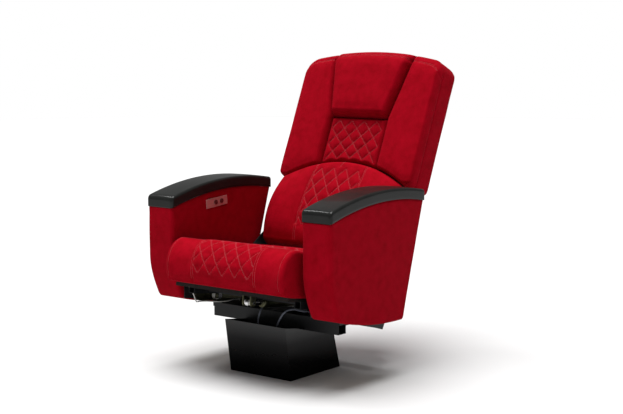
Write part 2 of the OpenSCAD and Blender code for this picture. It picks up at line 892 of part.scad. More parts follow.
// Seat frame under the cushion
seat_frame_front = 280;
seat_frame_rear = 135;
side_tube_front = 215;
cross_front_u = 150;
cross_h = 18;
runner_t = 3;
runner_space = 1;
seat_tube_x = track_in_x - runner_t - runner_space;
strap_t = 4;
strap_w = 34;
module seat_board() {
  color(ply)
    along_seat()
      translate([-seat_tube_x, -seat_frame_front, -seat_board_t])
        cube([2 * seat_tube_x, seat_frame_front + seat_frame_rear, seat_board_t]);
}
module seat_side_tubes() {
  color(steel)
    along_seat()
      both_sides()
        translate([seat_tube_x - seat_tube_w, -side_tube_front, -seat_board_t - seat_tube_w])
          tube_y(seat_tube_w, side_tube_front + seat_frame_rear, seat_tube_w, seat_tube_wall);
}
module seat_cross_members() {
  half = seat_tube_x - seat_tube_w;
  color(steel)
    along_seat() {
      translate([-half, -cross_front_u, -seat_board_t - cross_h])
        tube_x(2 * half, seat_tube_w, cross_h, seat_tube_wall);
      translate([-half, seat_frame_rear - strap_w, -seat_board_t - strap_t])
        cube([2 * half, strap_w, strap_t]);
    }
}

// Runner plates on the seat tubes carry the roller axles
runner_margin = 18;
module runner_plates() {
  bottom = track_v - roller_axle_d;
  color(steel)
    along_seat()
      both_sides()
        difference() {
          translate([seat_tube_x, -front_roller_u - runner_margin, bottom])
            cube([runner_t, front_roller_u + rear_roller_u + 2 * runner_margin, -seat_board_t - bottom]);
          for (u = [-front_roller_u, rear_roller_u])
            translate([0, u, track_v])
              bar_x(seat_tube_x - over, seat_tube_x + runner_t + over, roller_axle_d / 2 + run_gap);
        }
}
axle_head_t = 5;
axle_end_t = 1.5;
axle_collar_share = 1.6;
axle_end_share = 1.4;
roller_in = 5;
roller_x = track_in_x + roller_in;
module roller_axles() {
  r = roller_axle_d / 2;
  color(steel)
    along_seat()
      both_sides()
        for (u = [-front_roller_u, rear_roller_u])
          translate([0, u, track_v]) {
            bar_x(seat_tube_x - axle_head_t, seat_tube_x, axle_head_share * r);
            bar_x(seat_tube_x, roller_x + roller_w + axle_end_t + play, r);
            bar_x(seat_tube_x + runner_t, roller_x - play, axle_collar_share * r);
            bar_x(roller_x + roller_w + play, roller_x + roller_w + axle_end_t + play, axle_end_share * r);
          }
}
module roller_pair(u) {
  color(pale)
    along_seat()
      both_sides()
        translate([0, u, track_v])
          difference() {
            bar_x(roller_x, roller_x + roller_w, roller_d / 2);
            bar_x(roller_x - over, roller_x + roller_w + over, roller_axle_d / 2 + run_gap);
          }
}
module front_rollers() {
  roller_pair(-front_roller_u);
}
module rear_rollers() {
  roller_pair(rear_roller_u);
}

// Push bar at the lower end of the recliner arms, in slots of the seat's drag arms
push_lead = recline_travel / 2 - seat_tilt;
push_y = pivot_y + push_arm_r * sin(push_lead);
push_z = pivot_z - push_arm_r * cos(push_lead);
push_sag = push_arm_r * (1 - cos(recline_travel / 2));
push_u = push_y * cos(seat_tilt) - (push_z - seat_base_z) * sin(seat_tilt);
push_v = push_y * sin(seat_tilt) + (push_z - seat_base_z) * cos(seat_tilt);
drag_x = seat_tube_x - seat_tube_w;
drag_r = push_bush_d / 2 + play;
drag_boss_wall = 11;
drag_boss_r = drag_r + drag_boss_wall;
module drag_arms() {
  low = -seat_board_t - seat_tube_w;
  color(steel)
    along_seat()
      both_sides()
        translate([drag_x - drag_t, 0, 0])
          difference() {
            rotate([90, 0, 90])
              linear_extrude(drag_t) {
                polygon([
                  [seat_frame_rear - 2 * strap_w, low],
                  [push_u, push_v - push_sag - drag_boss_r],
                  [push_u, push_v + drag_boss_r],
                  [seat_frame_rear + strap_w, -seat_board_t],
                  [seat_frame_rear + over, -seat_board_t],
                  [seat_frame_rear + over, -seat_board_t - strap_t - over],
                  [seat_frame_rear - 2 * strap_w, -seat_board_t - strap_t - over]
                ]);
                for (v = [push_v, push_v - push_sag])
                  translate([push_u, v])
                    circle(r = drag_boss_r, $fn = round_n);
              }
            for (v = [push_v, push_v - push_sag])
              translate([0, push_u, v])
                bar_x(-over, drag_t + over, drag_r);
            translate([-over, push_u - drag_r, push_v - push_sag])
              cube([drag_t + 2 * over, 2 * drag_r, push_sag]);
          }
}
bush_lip = 2;
module push_bar() {
  reach = waist_half_w + recliner_t;
  color(steel)
    translate([0, push_y, push_z])
      bar_x(-reach, reach, push_bar_d / 2);
}
module push_bushes() {
  color(pale)
    translate([0, push_y, push_z])
      both_sides()
        difference() {
          bar_x(drag_x - drag_t - bush_lip, drag_x + bush_lip, push_bush_d / 2);
          bar_x(drag_x - drag_t - bush_lip - over, drag_x + bush_lip + over, push_bar_d / 2);
        }
}

// Recliner arms in the leaning frame of the back, from the uprights past the pivot to the push bar
push_t = (push_y - pivot_y) * cos(back_rake) - (push_z - pivot_z) * sin(back_rake);
push_w = (push_y - pivot_y) * sin(back_rake) + (push_z - pivot_z) * cos(back_rake);
recliner_top_w = 118;
recliner_half = 21;
recliner_rear = 27;
pivot_boss_r = 24;
push_boss_wall = 10;
push_boss_r = push_bar_d / 2 + push_boss_wall;
module recliner_arms() {
  color(black)
    along_back()
      both_sides()
        translate([waist_half_w, 0, 0])
          difference() {
            rotate([90, 0, 90])
              linear_extrude(recliner_t) {
                polygon([
                  [-recliner_half, 0],
                  [push_t - push_boss_r * cos(25), push_w - push_boss_r * sin(25)],
                  [push_t + push_boss_r * cos(25), push_w + push_boss_r * sin(25)],
                  [recliner_rear, 0],
                  [recliner_rear, recliner_top_w],
                  [0, recliner_top_w],
                  [-recliner_half, recliner_top_w / 2]
                ]);
                circle(r = pivot_boss_r, $fn = round_n);
                translate([push_t, push_w])
                  circle(r = push_boss_r, $fn = round_n);
              }
            bar_x(-over, recliner_t + over, pivot_d / 2 + run_gap);
            translate([0, push_t, push_w])
              bar_x(-over, recliner_t + over, push_bar_d / 2);
          }
}

// Outlines of the back seen from the front, with an inset e
top_corner_r = 40;
low_corner_r = 20;
cover_low_w = 84;
function crest(x) = crest_w - crest_drop * (x / wing_half_w) ^ 2;
arc_half_w = 250;
arc_low = 2;
front_roll = 16;
front_top_w = crest_w - crest_drop - front_roll;
function lumbar_arc(x) =
  mix(lumbar_top_w, wing_low_w - arc_low, (min(abs(x), arc_half_w) / arc_half_w) ^ 2);
function centre_half(w) = mix(centre_half_low, centre_half_top,
  min(1, max(0, (w - bolster_low_w) / (front_top_w - bolster_low_w))));
function wing_top(x) = crest(x)
  - (x > wing_half_w - top_corner_r
    ? top_corner_r - sqrt(max(0, top_corner_r ^ 2 - (x - wing_half_w + top_corner_r) ^ 2)) : 0);
function wing_low(x) = max(wing_low_w, lumbar_arc(x) + 2 * seat_gap)
  + (x > wing_half_w - low_corner_r
    ? low_corner_r - sqrt(max(0, low_corner_r ^ 2 - (x - wing_half_w + low_corner_r) ^ 2)) : 0);

function back_half(e) = concat(
  [[waist_half_w - e, e - cover_low_w], [waist_half_w - e, wing_low_w + e]],
  [for (a = [-90:18:0]) [
    wing_half_w - low_corner_r + (low_corner_r - e) * cos(a),
    wing_low_w + low_corner_r + (low_corner_r - e) * sin(a)]],
  [for (a = [0:15:90])
    let (x = wing_half_w - top_corner_r + (top_corner_r - e) * cos(a))
    [x, crest(x) - top_corner_r + (top_corner_r - e) * sin(a)]],
  [for (k = [1:9]) let (x = mix(wing_half_w - top_corner_r, 0, k / 10)) [x, crest(x) - e]]
);
function back_outline(e) = let (half = back_half(e), n = len(half)) concat(
  half, [[0, crest_w - e]], [for (k = [n - 1:-1:0]) [-half[k][0], half[k][1]]]
);

// The rear cover is the common part of its three outlines
cover_top_rt = 50;
cover_top_rw = 85;
cover_low_r = 24;
cover_side_r = 16;
function cover_side(e) = concat(
  [[-board_front_t - over, crest_w + over], [-board_front_t - over, e - cover_low_w]],
  [for (a = [-90:15:0]) [
    cover_rear_t - cover_low_r + (cover_low_r - e) * cos(a),
    cover_low_r - cover_low_w + (cover_low_r - e) * sin(a)]],
  [for (a = [0:9:90]) [
    cover_rear_t - cover_top_rt + (cover_top_rt - e) * cos(a),
    crest_w - cover_top_rw + (cover_top_rw - e) * sin(a)]]
);
function cover_plan(e) = let (
  right = concat(
    [[wing_half_w - e, -board_front_t - over]],
    [for (a = [0:15:90]) [
      wing_half_w - cover_side_r + (cover_side_r - e) * cos(a),
      cover_rear_t - cover_side_r + (cover_side_r - e) * sin(a)]]
  )
) concat(right, [for (k = [len(right) - 1:-1:0]) [-right[k][0], right[k][1]]]);
module cover_block(e, front) {
  depth = cover_rear_t + front + over;
  intersection() {
    translate([0, cover_rear_t + over, 0])
      rotate([90, 0, 0])
        linear_extrude(depth)
          polygon(back_outline(e));
    translate([-wing_half_w - over, 0, 0])
      rotate([90, 0, 90])
        linear_extrude(2 * wing_half_w + 2 * over)
          polygon(cover_side(e));
    translate([0, 0, -cover_low_w - over])
      linear_extrude(crest_w + cover_low_w + 2 * over)
        polygon(cover_plan(e));
  }
}
module rear_cover() {
  color(red)
    along_back()
      difference() {
        cover_block(0, board_front_t);
        cover_block(cover_wall, board_front_t + over);
      }
}
module back_board() {
  color(ply)
    along_back()
      translate([0, back_board_t - board_front_t, 0])
        rotate([90, 0, 0])
          linear_extrude(back_board_t)
            polygon(back_outline(cover_wall + seat_gap));
}
upright_low_w = 66;
upright_top_w = 560;
lower_cross_w = 150;
module back_uprights() {
  color(black)
    along_back()
      both_sides()
        translate([
          waist_half_w - cover_wall - back_tube_w / 2,
          back_board_t - board_front_t + back_tube_w / 2,
          -upright_low_w
        ])
          linear_extrude(upright_low_w + upright_top_w)
            difference() {
              square(back_tube_w, center = true);
              square(back_tube_w - 2 * seat_tube_wall, center = true);
            }
}
module back_cross_tubes() {
  half = waist_half_w - cover_wall - back_tube_w;
  color(black)
    along_back()
      for (w = [lower_cross_w, upright_top_w - back_tube_w])
        translate([-half, back_board_t - board_front_t, w])
          tube_x(2 * half, back_tube_w, back_tube_w, seat_tube_wall);
}

// Padded pieces on the front of the back board: a grid of [x, depth, w] each
groove_r = 22;
welt_r = 9;
top_roll_r = 52;
function wing_grid() = let (
  s_list = steps(groove_r, welt_r, wing_half_w - centre_half_low, 2, 6),
  q_list = steps(groove_r, top_roll_r, crest_w - wing_low_w, 2, 15),
  s_end = wing_half_w - centre_half_low,
  q_end = crest_w - wing_low_w
) [
  for (s = s_list) [
    for (q = q_list)
      let (
        near = centre_half(mix(wing_low(centre_half_low), wing_top(centre_half_low), q / q_end)),
        inner = centre_half(mix(wing_low(near), wing_top(near), q / q_end)) + seat_gap,
        x = mix(inner, wing_half_w, s / s_end),
        low = wing_low(x),
        top = wing_top(x),
        w = mix(low, top, q / q_end),
        round_off = edge(x - inner, groove_r) * edge(wing_half_w - x, welt_r)
          * edge(w - low, groove_r) * edge(top - w, top_roll_r)
      )
      [x, -board_front_t - wing_depth * round_off, w]
  ]
];
module wing_left() {
  color(red)
    pillow(wing_grid());
}
module wing_right() {
  color(red)
    mirror([1, 0, 0])
      wing_left();
}

bolster_roll_r = 34;
bolster_space = 1.5;
function bolster_grid() = let (
  q_end = crest_w - bolster_low_w,
  s_list = steps(groove_r, groove_r, 2 * centre_half_low, 3, 8)
) [
  for (s = s_list) [
    for (q = steps(bolster_roll_r, top_roll_r, q_end, 4, 7))
      let (
        near = centre_half(mix(bolster_low_w, crest(centre_half_low), q / q_end)),
        half = centre_half(mix(bolster_low_w, crest(near), q / q_end)) - bolster_space,
        x = mix(-half, half, s / (2 * centre_half_low)),
        w = mix(bolster_low_w, crest(x), q / q_end),
        round_off = edge(half - abs(x), groove_r) * edge(w - bolster_low_w, bolster_roll_r)
          * edge(crest(x) - w, top_roll_r)
      )
      [x, -board_front_t - bolster_depth * round_off, w]
  ]
];
module head_bolster() {
  color(red)
    pillow(bolster_grid());
}

panel_n = 8;
panel_rows = 10;
panel_edge_r = 14;
function panel_grid() = let (
  half = centre_half_low - seat_gap,
  x_list = concat([-half, panel_edge_r / 4 - half],
    [for (i = [-panel_n:panel_n]) (half - panel_edge_r) * i / panel_n],
    [half - panel_edge_r / 4, half])
) [
  for (i = [0:len(x_list) - 1]) [
    for (j = [0:panel_rows + 4])
      let (
        x = x_list[i],
        low = lumbar_arc(x) + 2 * seat_gap,
        top = bolster_low_w - 2 * seat_gap,
        row = j - 2,
        w = j == 0 ? low : j == 1 ? low + panel_edge_r / 4
          : j == panel_rows + 3 ? top - panel_edge_r / 4 : j == panel_rows + 4 ? top
          : mix(low + panel_edge_r, top - panel_edge_r, row / panel_rows),
        round_off = edge(half - abs(x), panel_edge_r) * edge(w - low, panel_edge_r)
          * edge(top - w, panel_edge_r),
        sewn = quilt_depth * stitch(i, row, stitch_pitch)
      )
      [x, -board_front_t - (panel_depth - sewn) * round_off, w]
  ]
];
module quilt_panel() {
  color(red)
    pillow(panel_grid());
}

lumbar_n = 8;
lumbar_insert_half = 104;
lumbar_rows = 16;
lumbar_side_r = 12;
lumbar_top_r = 16;
lumbar_low_r = 38;
lumbar_deep_w = 10;
lumbar_top_share = 0.48;
lumbar_low_share = 0.22;
lumbar_side_space = 1;
function lumbar_shape(x, w) = lumbar_depth * (w > lumbar_deep_w
  ? 1 - lumbar_top_share * ((w - lumbar_deep_w) / (lumbar_arc(x) - lumbar_deep_w)) ^ 2
  : 1 - lumbar_low_share * ((w - lumbar_deep_w) / (lumbar_low_w + lumbar_deep_w)) ^ 2);
function lumbar_grid() = let (
  half = waist_half_w - lumbar_side_space,
  side = [0, lumbar_side_r / 6, lumbar_side_r / 2, lumbar_side_r, 5 * lumbar_side_r, 9 * lumbar_side_r],
  x_list = concat([for (d = side) [d - half, undef]],
    [for (i = [-lumbar_n:lumbar_n]) [lumbar_insert_half * i / lumbar_n, i]],
    [for (k = [len(side) - 1:-1:0]) [half - side[k], undef]]),
  q_end = lumbar_top_w + lumbar_low_w,
  q_list = concat([0, lumbar_low_r / 8, lumbar_low_r / 2],
    [for (k = [0:lumbar_rows]) mix(lumbar_low_r, q_end - lumbar_top_r, k / lumbar_rows)],
    [q_end - lumbar_top_r / 2, q_end - lumbar_top_r / 8, q_end])
) [
  for (station = x_list) [
    for (j = [0:len(q_list) - 1])
      let (
        share = q_list[j] / q_end,
        x = station[0],
        low = -lumbar_low_w,
        top = lumbar_arc(x),
        w = mix(low, top, share),
        round_off = edge(half - abs(x), lumbar_side_r) * edge(w - low, lumbar_low_r)
          * edge(top - w, lumbar_top_r),
        sewn = station[1] == undef || j < 6 ? 0
          : abs(station[1]) == lumbar_n ? seam_depth
          : quilt_depth * stitch(station[1], j, stitch_pitch)
      )
      [x, -board_front_t - (lumbar_shape(x, w) - sewn) * round_off, w]
  ]
];
module lumbar_cushion() {
  color(red)
    pillow(lumbar_grid());
}

// Actuator along the seat's slope, pinned to the rear rail and to the seat's front clevis
act_v = -42;
act_front_u = 183.5;
act_rear_u = 152;
act_tube_front_u = 118;
gear_front_u = 84;
gear_l = 52;
gear_h = 50;
gear_side = 28;
gear_wide = 44;
rod_inside = 44;
bore_end = 6;
eye_wall = 8;
eye_r = clevis_pin_d / 2 + eye_wall;
eye_w = 12;
ear_t = 4;
bush_space = 8;
ear_x = eye_w / 2 + bush_space;
motor_shift = 48;
module bar_u(u0, u1, x, r) {
  translate([x, u0, act_v])
    rotate([-90, 0, 0])
      cylinder(h = u1 - u0, r = r, $fn = round_n);
}
module actuator_tube() {
  color(steel)
    along_seat()
      difference() {
        bar_u(-act_tube_front_u, gear_front_u, 0, actuator_tube_d / 2);
        bar_u(-act_tube_front_u - over, gear_front_u - bore_end, 0, actuator_rod_d / 2 + run_gap);
      }
}
module actuator_gearbox() {
  color(black)
    along_seat()
      difference() {
        union() {
          translate([-gear_side, gear_front_u, act_v - gear_h / 2])
            cube([2 * gear_side + gear_wide, gear_l, gear_h]);
          translate([0, act_rear_u, act_v])
            bar_x(-eye_w / 2, eye_w / 2, eye_r);
          translate([-eye_w / 2, gear_front_u + gear_l, act_v - eye_r])
            cube([eye_w, act_rear_u - gear_front_u - gear_l, 2 * eye_r]);
        }
        translate([0, act_rear_u, act_v])
          bar_x(-eye_w, eye_w, clevis_pin_d / 2 + run_gap);
      }
}
module actuator_motor() {
  color(black)
    along_seat()
      bar_u(gear_front_u - motor_l, gear_front_u, motor_shift, motor_d / 2);
}
module actuator_rod() {
  color(steel)
    along_seat()
      difference() {
        union() {
          bar_u(clevis_bush_d / 2 + play - act_front_u, rod_inside, 0, actuator_rod_d / 2);
          translate([0, -act_front_u, act_v])
            bar_x(-eye_w / 2, eye_w / 2, eye_r);
        }
        translate([0, -act_front_u, act_v])
          bar_x(-eye_w, eye_w, clevis_pin_d / 2 + run_gap);
      }
}
module clevis_pair(u, base_u0, base_u1, base_v) {
  difference() {
    union() {
      translate([-ear_x - 2 * ear_t, base_u0, base_v - ear_t])
        cube([2 * ear_x + 4 * ear_t, base_u1 - base_u0, ear_t]);
      for (x = [-ear_x - ear_t, ear_x]) {
        translate([x, base_u0, act_v])
          cube([ear_t, base_u1 - base_u0, base_v - act_v - ear_t]);
        translate([0, u, act_v])
          bar_x(x, x + ear_t, eye_r);
      }
    }
    translate([0, u, act_v])
      bar_x(-ear_x - 2 * ear_t, ear_x + 2 * ear_t, clevis_pin_d / 2 + run_gap);
  }
}
module front_clevis() {
  color(steel)
    along_seat()
      clevis_pair(-act_front_u, -act_front_u - eye_r, eye_r - act_front_u, -seat_board_t);
}
module clevis_pin(u) {
  color(steel)
    along_seat()
      translate([0, u, act_v]) {
        bar_x(-ear_x - 2 * ear_t, ear_x + 2 * ear_t, clevis_pin_d / 2);
      }
}
module front_clevis_pin() {
  clevis_pin(-act_front_u);
}
module rear_clevis_pin() {
  clevis_pin(act_rear_u);
}
module clevis_bushes() {
  color(pale)
    along_seat()
      both_sides()
        translate([0, -act_front_u, act_v])
          difference() {
            bar_x(eye_w / 2 + play, ear_x - play, clevis_bush_d / 2);
            bar_x(0, ear_x + over, clevis_pin_d / 2 + run_gap);
          }
}
rear_pin_y = act_rear_u * cos(seat_tilt) + act_v * sin(seat_tilt);
rear_pin_z = seat_base_z - act_rear_u * sin(seat_tilt) + act_v * cos(seat_tilt);
module rear_clevis() {
  base_z = rear_rail_z + rear_rail_h;
  color(black)
    difference() {
      union() {
        translate([-ear_x - 2 * ear_t, rear_rail_y, base_z])
          cube([2 * ear_x + 4 * ear_t, rear_rail_d, ear_t]);
        for (x = [-ear_x - ear_t, ear_x]) {
          translate([x, rear_rail_y, base_z])
            cube([ear_t, rear_rail_d - ear_t, rear_pin_z - base_z]);
          translate([0, rear_pin_y, rear_pin_z])
            bar_x(x, x + ear_t, eye_r);
        }
      }
      translate([0, rear_pin_y, rear_pin_z])
        bar_x(-ear_x - 2 * ear_t, ear_x + 2 * ear_t, clevis_pin_d / 2 + run_gap);
    }
}

// Electrics on the frame
box_w = 84;
box_l = 100;
box_h = 36;
box_x = 182;
module housing_box(x) {
  color(black)
    translate([x - box_w / 2, rail_w - front_rail_fwd, frame_z + rail_h - box_h])
      cube([box_w, box_l, box_h]);
}
module control_box() {
  housing_box(-box_x);
}
module power_supply() {
  housing_box(box_x);
}

// Captive cables swept along routes chosen by hand
cable_n = 8;
function hermite(p, i, k) = let (
  a = p[max(0, i - 1)], b = p[i], c = p[i + 1], d = p[min(len(p) - 1, i + 2)]
) 0.5 * (2 * b + (c - a) * k + (2 * a - 5 * b + 4 * c - d) * k ^ 2 + (3 * b - a - 3 * c + d) * k ^ 3);
function smooth(p, n) = concat(
  [for (i = [0:len(p) - 2], j = [0:n - 1]) hermite(p, i, j / n)], [p[len(p) - 1]]
);
function unit(v) = v / norm(v);
module cable(route, r) {
  path = smooth(route, 4);
  last = len(path) - 1;
  side = [0.21, 0.36, 0.17];
  skin([
    for (i = [0:last])
      let (
        t = unit(path[min(last, i + 1)] - path[max(0, i - 1)]),
        n = unit(cross(t, side)),
        b = cross(t, n)
      )
      [for (a = [0:360 / cable_n:359]) path[i] + r * (cos(a) * n + sin(a) * b)]
  ]);
}
mains_r = 3;
link_r = 2.5;
switch_r = 2;
mains_route = [
  [8, -95, 3], [9, -96, 26], [22, -102, 70], [42, -110, 120], [54, -113, 165], [70, -114, 196],
  [86, -108, 219], [100, -82, 225], [112, -48, 215], [135, -12, 210], [160, 12, 211],
  [177, 22, 211], [183, 24, 208.5], [184, 24, 204.4]
];
link_route = [
  [-7, -95, 3], [-8, -96, 26], [-14, -102, 70], [-22, -110, 120], [-25, -113, 165], [-21, -114, 190],
  [-17, -110, 209], [-28, -86, 219], [-62, -48, 213], [-105, -14, 210], [-150, 8, 210],
  [-175, 18, 210], [-181, 20, 208], [-182, 20, 204.4]
];
switch_route = [
  [-265.8, -198, 280], [-258, -198, 280], [-250, -192, 269], [-247, -183, 250], [-248, -174, 233],
  [-253, -162, 220.5], [-260, -140, 217.5], [-259, -112, 214.5], [-246, -86, 211], [-230, -66, 209],
  [-220, -40, 209], [-217, -14, 210.5], [-214, 4, 209.5], [-212, 10, 207.5], [-212, 11, 204.4]
];
module mains_cable() {
  color(pale)
    cable(mains_route, mains_r);
}
module link_cable() {
  color(pale)
    cable(link_route, link_r);
}
module switch_cable() {
  color(pale)
    cable(switch_route, switch_r);
}

floor_plate();
column();
shroud();
head_plate();
cable_grommet();
front_rail();
rear_rail();
beams();
side_plate_left();
side_plate_right();
tracks();
arm_core_left();
arm_core_right();
arm_pad_left();
arm_pad_right();
arm_cap_left();
arm_cap_right();
cap_screws();
arm_bolts();
pivot_pins();
pivot_washers();
actuator_tube();
actuator_gearbox();
actuator_motor();
rear_clevis();
rear_clevis_pin();
control_box();
power_supply();
mains_cable();
link_cable();
switch_cable();
switch_plate();
switch_housing();
button_recline();
button_upright();
seat_cushion();
seat_board();
seat_side_tubes();
seat_cross_members();
runner_plates();
roller_axles();
front_rollers();
rear_rollers();
drag_arms();
push_bar();
push_bushes();
actuator_rod();
front_clevis();
front_clevis_pin();
clevis_bushes();
back_board();
back_uprights();
back_cross_tubes();
rear_cover();
wing_left();
wing_right();
head_bolster();
quilt_panel();
lumbar_cushion();
recliner_arms();
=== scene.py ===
import json
import math
import bpy
import numpy as np
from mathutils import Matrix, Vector, noise
from mathutils.bvhtree import BVHTree


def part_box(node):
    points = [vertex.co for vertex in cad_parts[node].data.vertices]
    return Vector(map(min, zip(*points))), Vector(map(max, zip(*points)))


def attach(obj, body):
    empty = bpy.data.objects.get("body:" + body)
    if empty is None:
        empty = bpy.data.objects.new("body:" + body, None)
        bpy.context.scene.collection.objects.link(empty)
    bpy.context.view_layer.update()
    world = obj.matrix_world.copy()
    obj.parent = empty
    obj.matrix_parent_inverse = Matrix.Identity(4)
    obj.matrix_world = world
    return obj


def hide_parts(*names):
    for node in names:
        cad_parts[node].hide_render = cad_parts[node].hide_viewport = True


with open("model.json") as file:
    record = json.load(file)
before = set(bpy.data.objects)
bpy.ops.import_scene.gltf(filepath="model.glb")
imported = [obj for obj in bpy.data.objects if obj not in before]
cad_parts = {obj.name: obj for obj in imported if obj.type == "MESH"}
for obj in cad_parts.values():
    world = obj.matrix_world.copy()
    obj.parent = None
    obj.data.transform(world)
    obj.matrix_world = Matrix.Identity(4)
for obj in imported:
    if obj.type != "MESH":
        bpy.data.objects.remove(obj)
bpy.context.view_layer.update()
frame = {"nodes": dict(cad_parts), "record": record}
nodes = frame["nodes"]
scene = bpy.context.scene

# Camera and view
camera = bpy.data.objects.new("camera", bpy.data.cameras.new("camera"))
scene.collection.objects.link(camera)
camera.location = (2.8775, -3.5463, 1.1106)
camera.rotation_euler = (math.radians(82.93), 0, math.radians(37.97))
camera.data.lens = 80.4
camera.data.sensor_width = 36
scene.camera = camera
scene.view_settings.view_transform = "Standard"

# Frames of the leaning back and the tilted seat, in millimetres, as in the part
RAKE = math.radians(23.5)
TILT = math.radians(8)
PIVOT_Y, PIVOT_Z = 285, 440
SEAT_Z = 268.4
BOARD_V = -8
MM = 0.001


def on_back(x, v, w):
    return (x, PIVOT_Y + v * math.cos(RAKE) + w * math.sin(RAKE), PIVOT_Z - v * math.sin(RAKE) + w * math.cos(RAKE))


def on_seat(x, u, v):
    return (x, u * math.cos(TILT) + v * math.sin(TILT), SEAT_Z - u * math.sin(TILT) + v * math.cos(TILT))


def mix(a, b, k):
    return a + (b - a) * k


def smooth(k):
    k = min(1.0, max(0.0, k))
    return k * k * (3 - 2 * k)


def edge(d, r):
    """Height of a quarter round of radius r at a distance d from its rim, from 0 to 1."""
    return 1.0 if d >= r else math.sqrt(max(0.0, 1 - (1 - d / r) ** 2))


def arc_steps(r, n):
    """Distances from a rim that divide its quarter round evenly."""
    return [r * (1 - math.cos(math.pi / 2 * k / n)) for k in range(n)]


def steps(r0, r1, length, n0, n1, n_mid):
    """Distances along a length whose two ends are rounded."""
    return (arc_steps(r0, n0) + [mix(r0, length - r1, k / n_mid) for k in range(n_mid + 1)]
            + [length - d for d in reversed(arc_steps(r1, n1))])


# Materials
def new_material(name):
    m = bpy.data.materials.new(name)
    m.use_nodes = True
    t = m.node_tree
    return m, t, t.nodes["Principled BSDF"]


def ramp(t, source, stops):
    r = t.nodes.new("ShaderNodeValToRGB")
    r.color_ramp.elements[0].position = stops[0][0]
    r.color_ramp.elements[0].color = (*stops[0][1], 1)
    r.color_ramp.elements[1].position = stops[-1][0]
    r.color_ramp.elements[1].color = (*stops[-1][1], 1)
    for place, colour in stops[1:-1]:
        r.color_ramp.elements.new(place).color = (*colour, 1)
    t.links.new(source, r.inputs["Fac"])
    return r.outputs["Color"]


def noise_tex(t, vector, scale, detail=3, rough=0.55, distortion=0.0):
    n = t.nodes.new("ShaderNodeTexNoise")
    n.inputs["Scale"].default_value = scale
    n.inputs["Detail"].default_value = detail
    n.inputs["Roughness"].default_value = rough
    n.inputs["Distortion"].default_value = distortion
    t.links.new(vector, n.inputs["Vector"])
    return n.outputs["Fac"]


def wave_tex(t, vector, direction, scale, distortion=0.0, detail_scale=1.0):
    n = t.nodes.new("ShaderNodeTexWave")
    n.wave_type = "BANDS"
    n.bands_direction = direction
    n.inputs["Scale"].default_value = scale
    n.inputs["Distortion"].default_value = distortion
    n.inputs["Detail"].default_value = 1.5
    n.inputs["Detail Scale"].default_value = detail_scale
    t.links.new(vector, n.inputs["Vector"])
    return n.outputs["Fac"]


def combine(t, kind, a, b):
    n = t.nodes.new("ShaderNodeMath")
    n.operation = kind
    t.links.new(a, n.inputs[0])
    t.links.new(b, n.inputs[1])
    return n.outputs[0]


def bump(t, shader, height, strength, distance):
    b = t.nodes.new("ShaderNodeBump")
    b.inputs["Strength"].default_value = strength
    b.inputs["Distance"].default_value = distance
    t.links.new(height, b.inputs["Height"])
    t.links.new(b.outputs["Normal"], shader.inputs["Normal"])


def object_coords(t, stretch=None):
    c = t.nodes.new("ShaderNodeTexCoord").outputs["Object"]
    if stretch is None:
        return c
    m = t.nodes.new("ShaderNodeMapping")
    m.inputs["Scale"].default_value = stretch
    t.links.new(c, m.inputs["Vector"])
    return m.outputs["Vector"]


def cloth_material(name, dark, light, sheen=0.025, thread=1.25):
    m, t, s = new_material(name)
    uv = t.nodes.new("ShaderNodeUVMap")
    uv.uv_map = "weave"
    period = 2 * math.pi / (20 * thread)
    warp = wave_tex(t, uv.outputs["UV"], "X", period, 0.5, 0.3)
    weft = wave_tex(t, uv.outputs["UV"], "Y", period, 0.5, 0.3)
    cells = combine(t, "MULTIPLY", warp, weft)
    where = object_coords(t)
    fuzz = noise_tex(t, where, 1500, 2, 0.6)
    slub = noise_tex(t, where, 34, 4, 0.6)
    tone = combine(t, "MULTIPLY", slub, combine(t, "ADD", cells, fuzz))
    t.links.new(ramp(t, tone, [(0.16, dark), (0.62, light)]), s.inputs["Base Color"])
    s.inputs["Roughness"].default_value = 0.82
    s.inputs["Specular IOR Level"].default_value = 0.02
    s.inputs["Sheen Weight"].default_value = sheen
    s.inputs["Sheen Roughness"].default_value = 0.45
    s.inputs["Sheen Tint"].default_value = (1.0, 0.25, 0.32, 1)
    bump(t, s, combine(t, "ADD", cells, fuzz), 0.32, 0.0004)
    return m


def hard_material(name, dark, light, rough, metal=0.0, grain=220.0, height=0.1, depth=0.0003, coat=0.0,
                  stretch=None, level=0.5, wear=7.0):
    m, t, s = new_material(name)
    where = object_coords(t, stretch)
    fine = noise_tex(t, where, grain, 4, 0.6)
    broad = noise_tex(t, where, wear, 5, 0.6, 0.4)
    t.links.new(ramp(t, broad, [(0.35, dark), (0.65, light)]), s.inputs["Base Color"])
    lo, hi = rough
    t.links.new(ramp(t, fine, [(0.3, (lo,) * 3), (0.7, (hi,) * 3)]), s.inputs["Roughness"])
    s.inputs["Metallic"].default_value = metal
    s.inputs["Specular IOR Level"].default_value = level
    s.inputs["Coat Weight"].default_value = coat
    s.inputs["Coat Roughness"].default_value = 0.08
    bump(t, s, fine, height, depth)
    return m


def plywood_material(name):
    m, t, s = new_material(name)
    plies = wave_tex(t, object_coords(t), "DIAGONAL", 38, 1.6, 2.0)
    grain = noise_tex(t, object_coords(t, (220, 12, 220)), 1.0, 5, 0.6)
    tone = combine(t, "MULTIPLY", plies, grain)
    t.links.new(ramp(t, tone, [(0.05, (0.36, 0.22, 0.11)), (0.55, (0.66, 0.48, 0.29))]), s.inputs["Base Color"])
    s.inputs["Roughness"].default_value = 0.7
    bump(t, s, grain, 0.2, 0.0004)
    return m


